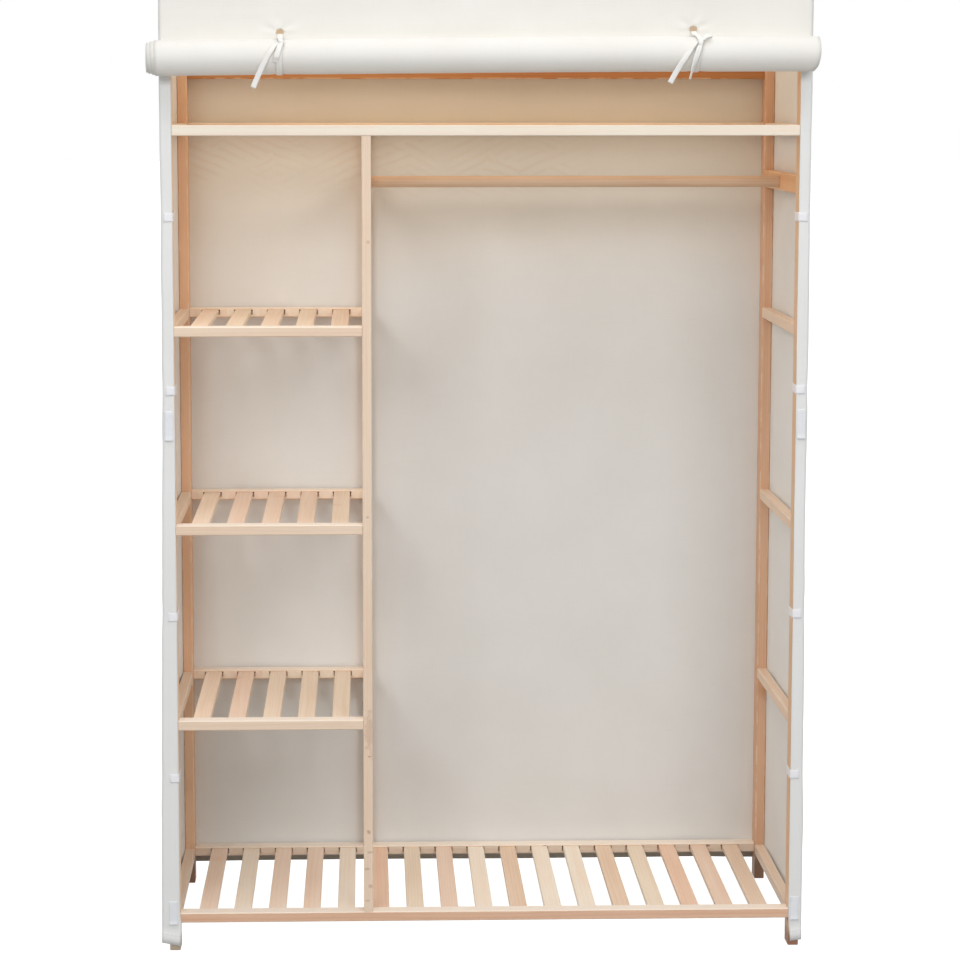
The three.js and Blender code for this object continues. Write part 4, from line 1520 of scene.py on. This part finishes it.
def patch(side, height):
    """A piece of hook-and-loop tape sewn on the strip, its lower edge standing off a little."""
    columns = lattice([(1.0, 10)])
    rows = lattice([(1.0, 26)])
    index = PATCH_HEIGHTS.index(height)
    tall = PATCH_TALL[index]
    middle = (STRIP_EDGE + SIDE_X) / 2 + 0.2 * flare(side, height)
    front = STRIP_Y - CLOTH / 2 - PATCH / 2 - SEWN_GAP

    def place(across, up):
        x = middle + (across - 0.5) * PATCH_WIDTH
        corner = 0.0012 * (2 * across - 1) ** 6 * (1 if up > 0.5 else -1) * abs(2 * up - 1) ** 20
        z = height + (up - 0.5) * tall - corner
        loose = 0.0014 * smooth((0.18 - up) / 0.18)
        wavy = 0.0003 * wave(60 * x, 40 * z, 1.0)
        return Vector((side * x, front - abs(wavy) - loose, z))

    bm = sheet_mesh(columns, rows, place, (PATCH_WIDTH, tall))[0]
    if side > 0:
        bmesh.ops.reverse_faces(bm, faces=bm.faces)
    name = SIDES[side]
    piece = make_piece(f"{name}_patch_{index + 1}", bm, PATCH_MATERIALS[index])
    thicken(piece, PATCH)
    dress(piece, "frame", "tape")


# Hanging rod
def rod():
    """The turned rod, its ends eased."""
    radius = (rod_high.z - rod_low.z) / 2
    bm = bmesh.new()
    shape = Matrix.Translation((rod_low + rod_high) / 2) @ Matrix.Rotation(math.pi / 2, 4, "Y")
    bmesh.ops.create_cone(bm, cap_ends=True, segments=64, radius1=radius, radius2=radius,
                          depth=rod_high.x - rod_low.x, matrix=shape)
    rims = [edge for edge in bm.edges if abs(edge.verts[0].co.x - edge.verts[1].co.x) < radius * 0.01]
    bmesh.ops.bevel(bm, geom=rims, offset=0.001, segments=3, profile=0.5, affect="EDGES", material=-1)
    piece = make_piece("rod", bm, timber("rod_pine", "x", "biscuit", 21.7, 0.12))
    for polygon in piece.data.polygons:
        polygon.use_smooth = abs(polygon.normal.x) < 0.99
    dress(piece, "rod", "pine", "hanging_rod")


# Floor, light and camera
def seen_directly(tree):
    """1 for rays that show a surface, also mirrored or through glass, and 0 for those that it lights."""
    rays = tree.nodes.new("ShaderNodeLightPath")
    seen = calculate(tree, "MAXIMUM", rays.outputs["Is Camera Ray"], rays.outputs["Is Glossy Ray"])
    return calculate(tree, "MAXIMUM", seen, rays.outputs["Is Transmission Ray"])


def floor():
    bm = bmesh.new()
    bmesh.ops.create_grid(bm, x_segments=1, y_segments=1, size=60)
    material, tree, shader = new_material("floor_white")
    glow = calculate(tree, "MULTIPLY", seen_directly(tree), FLOOR_GLOW)
    set_inputs(tree, shader, Base_Color=(FLOOR_GREY, FLOOR_GREY, FLOOR_GREY, 1), Roughness=0.9,
               Emission_Color=(1, 1, 1, 1), Emission_Strength=glow)
    piece = make_piece("floor", bm, material)


def world():
    scene.world = bpy.data.worlds.new("studio")
    scene.world.use_nodes = True
    tree = scene.world.node_tree
    tree.nodes.clear()
    background = tree.nodes.new("ShaderNodeBackground")
    strength = calculate(tree, "MULTIPLY_ADD", seen_directly(tree), 1 - WORLD_LIGHT, WORLD_LIGHT)
    set_inputs(tree, background, Color=(1, 1, 1, 1), Strength=strength)
    surface = tree.nodes.new("ShaderNodeOutputWorld")
    tree.links.new(background.outputs[0], surface.inputs[0])


# Each lamp as (name, place, target, size, power, colour)
LAMPS = (
    ("left_box", (-1.5, -4.2, 2.75), (0, 0, 1.0), (1.2, 1.2), 40, (1, 1, 1)),
    ("right_box", (1.5, -4.2, 2.75), (0, 0, 1.0), (1.2, 1.2), 32, (1, 1, 1)),
    ("top", (0.0, -1.7, 4.3), (0, -0.1, 0.9), (3.2, 2.0), 42, (1, 1, 1)),
    ("behind", (0.6, 4.6, 2.2), (0, 0.2, 0.9), (3.0, 2.0), 60, (1, 1, 1)),
    ("through_roof", (0, 0.03, 1.74), (0, 0.03, 0.5), (1.0, 0.38), 1.10, (1.0, 0.79, 0.60)),
    ("over_crossbars", (0, 0.12, 1.435), (0, 0.22, 1.515), (0.94, 0.05), 0.132, (1.0, 0.69, 0.34)),
    ("through_side", (-0.52, 0.03, 0.95), (0.5, 0.03, 0.95), (0.36, 1.1), 0.46, (1.0, 0.93, 0.89)),
)


def lamp(name, place, target, size, power, colour):
    data = bpy.data.lights.new(name, "AREA")
    data.shape = "RECTANGLE"
    data.size, data.size_y = size
    data.energy = power
    data.color = colour
    lamp_object = bpy.data.objects.new(name, data)
    lamp_object.location = place
    lamp_object.rotation_euler = (Vector(target) - Vector(place)).to_track_quat("-Z", "Y").to_euler()
    lamp_object.visible_camera = False
    scene.collection.objects.link(lamp_object)


def camera():
    data = bpy.data.cameras.new("camera")
    data.lens = CAMERA_LENS
    data.shift_x, data.shift_y = CAMERA_SHIFT
    view = bpy.data.objects.new("camera", data)
    view.location = CAMERA_PLACE
    view.rotation_euler = (math.radians(90 - CAMERA_PITCH), 0, math.radians(-CAMERA_YAW))
    scene.collection.objects.link(view)
    scene.camera = view


scene.view_settings.view_transform = "Standard"
camera()
world()
for settings in LAMPS:
    lamp(*settings)
floor()
paint_boards()
paint_shelves()
groove_end_shadows()
back_panel()
for side in SIDES:
    side_panel(side)
roof()
header()
eyelet_rims()
seams()
door_roll()
for side in SIDES:
    make_tie(side)
for side in SIDES:
    for height in TAB_HEIGHTS:
        tab(side, height)
    for height in PATCH_HEIGHTS:
        patch(side, height)
rod()
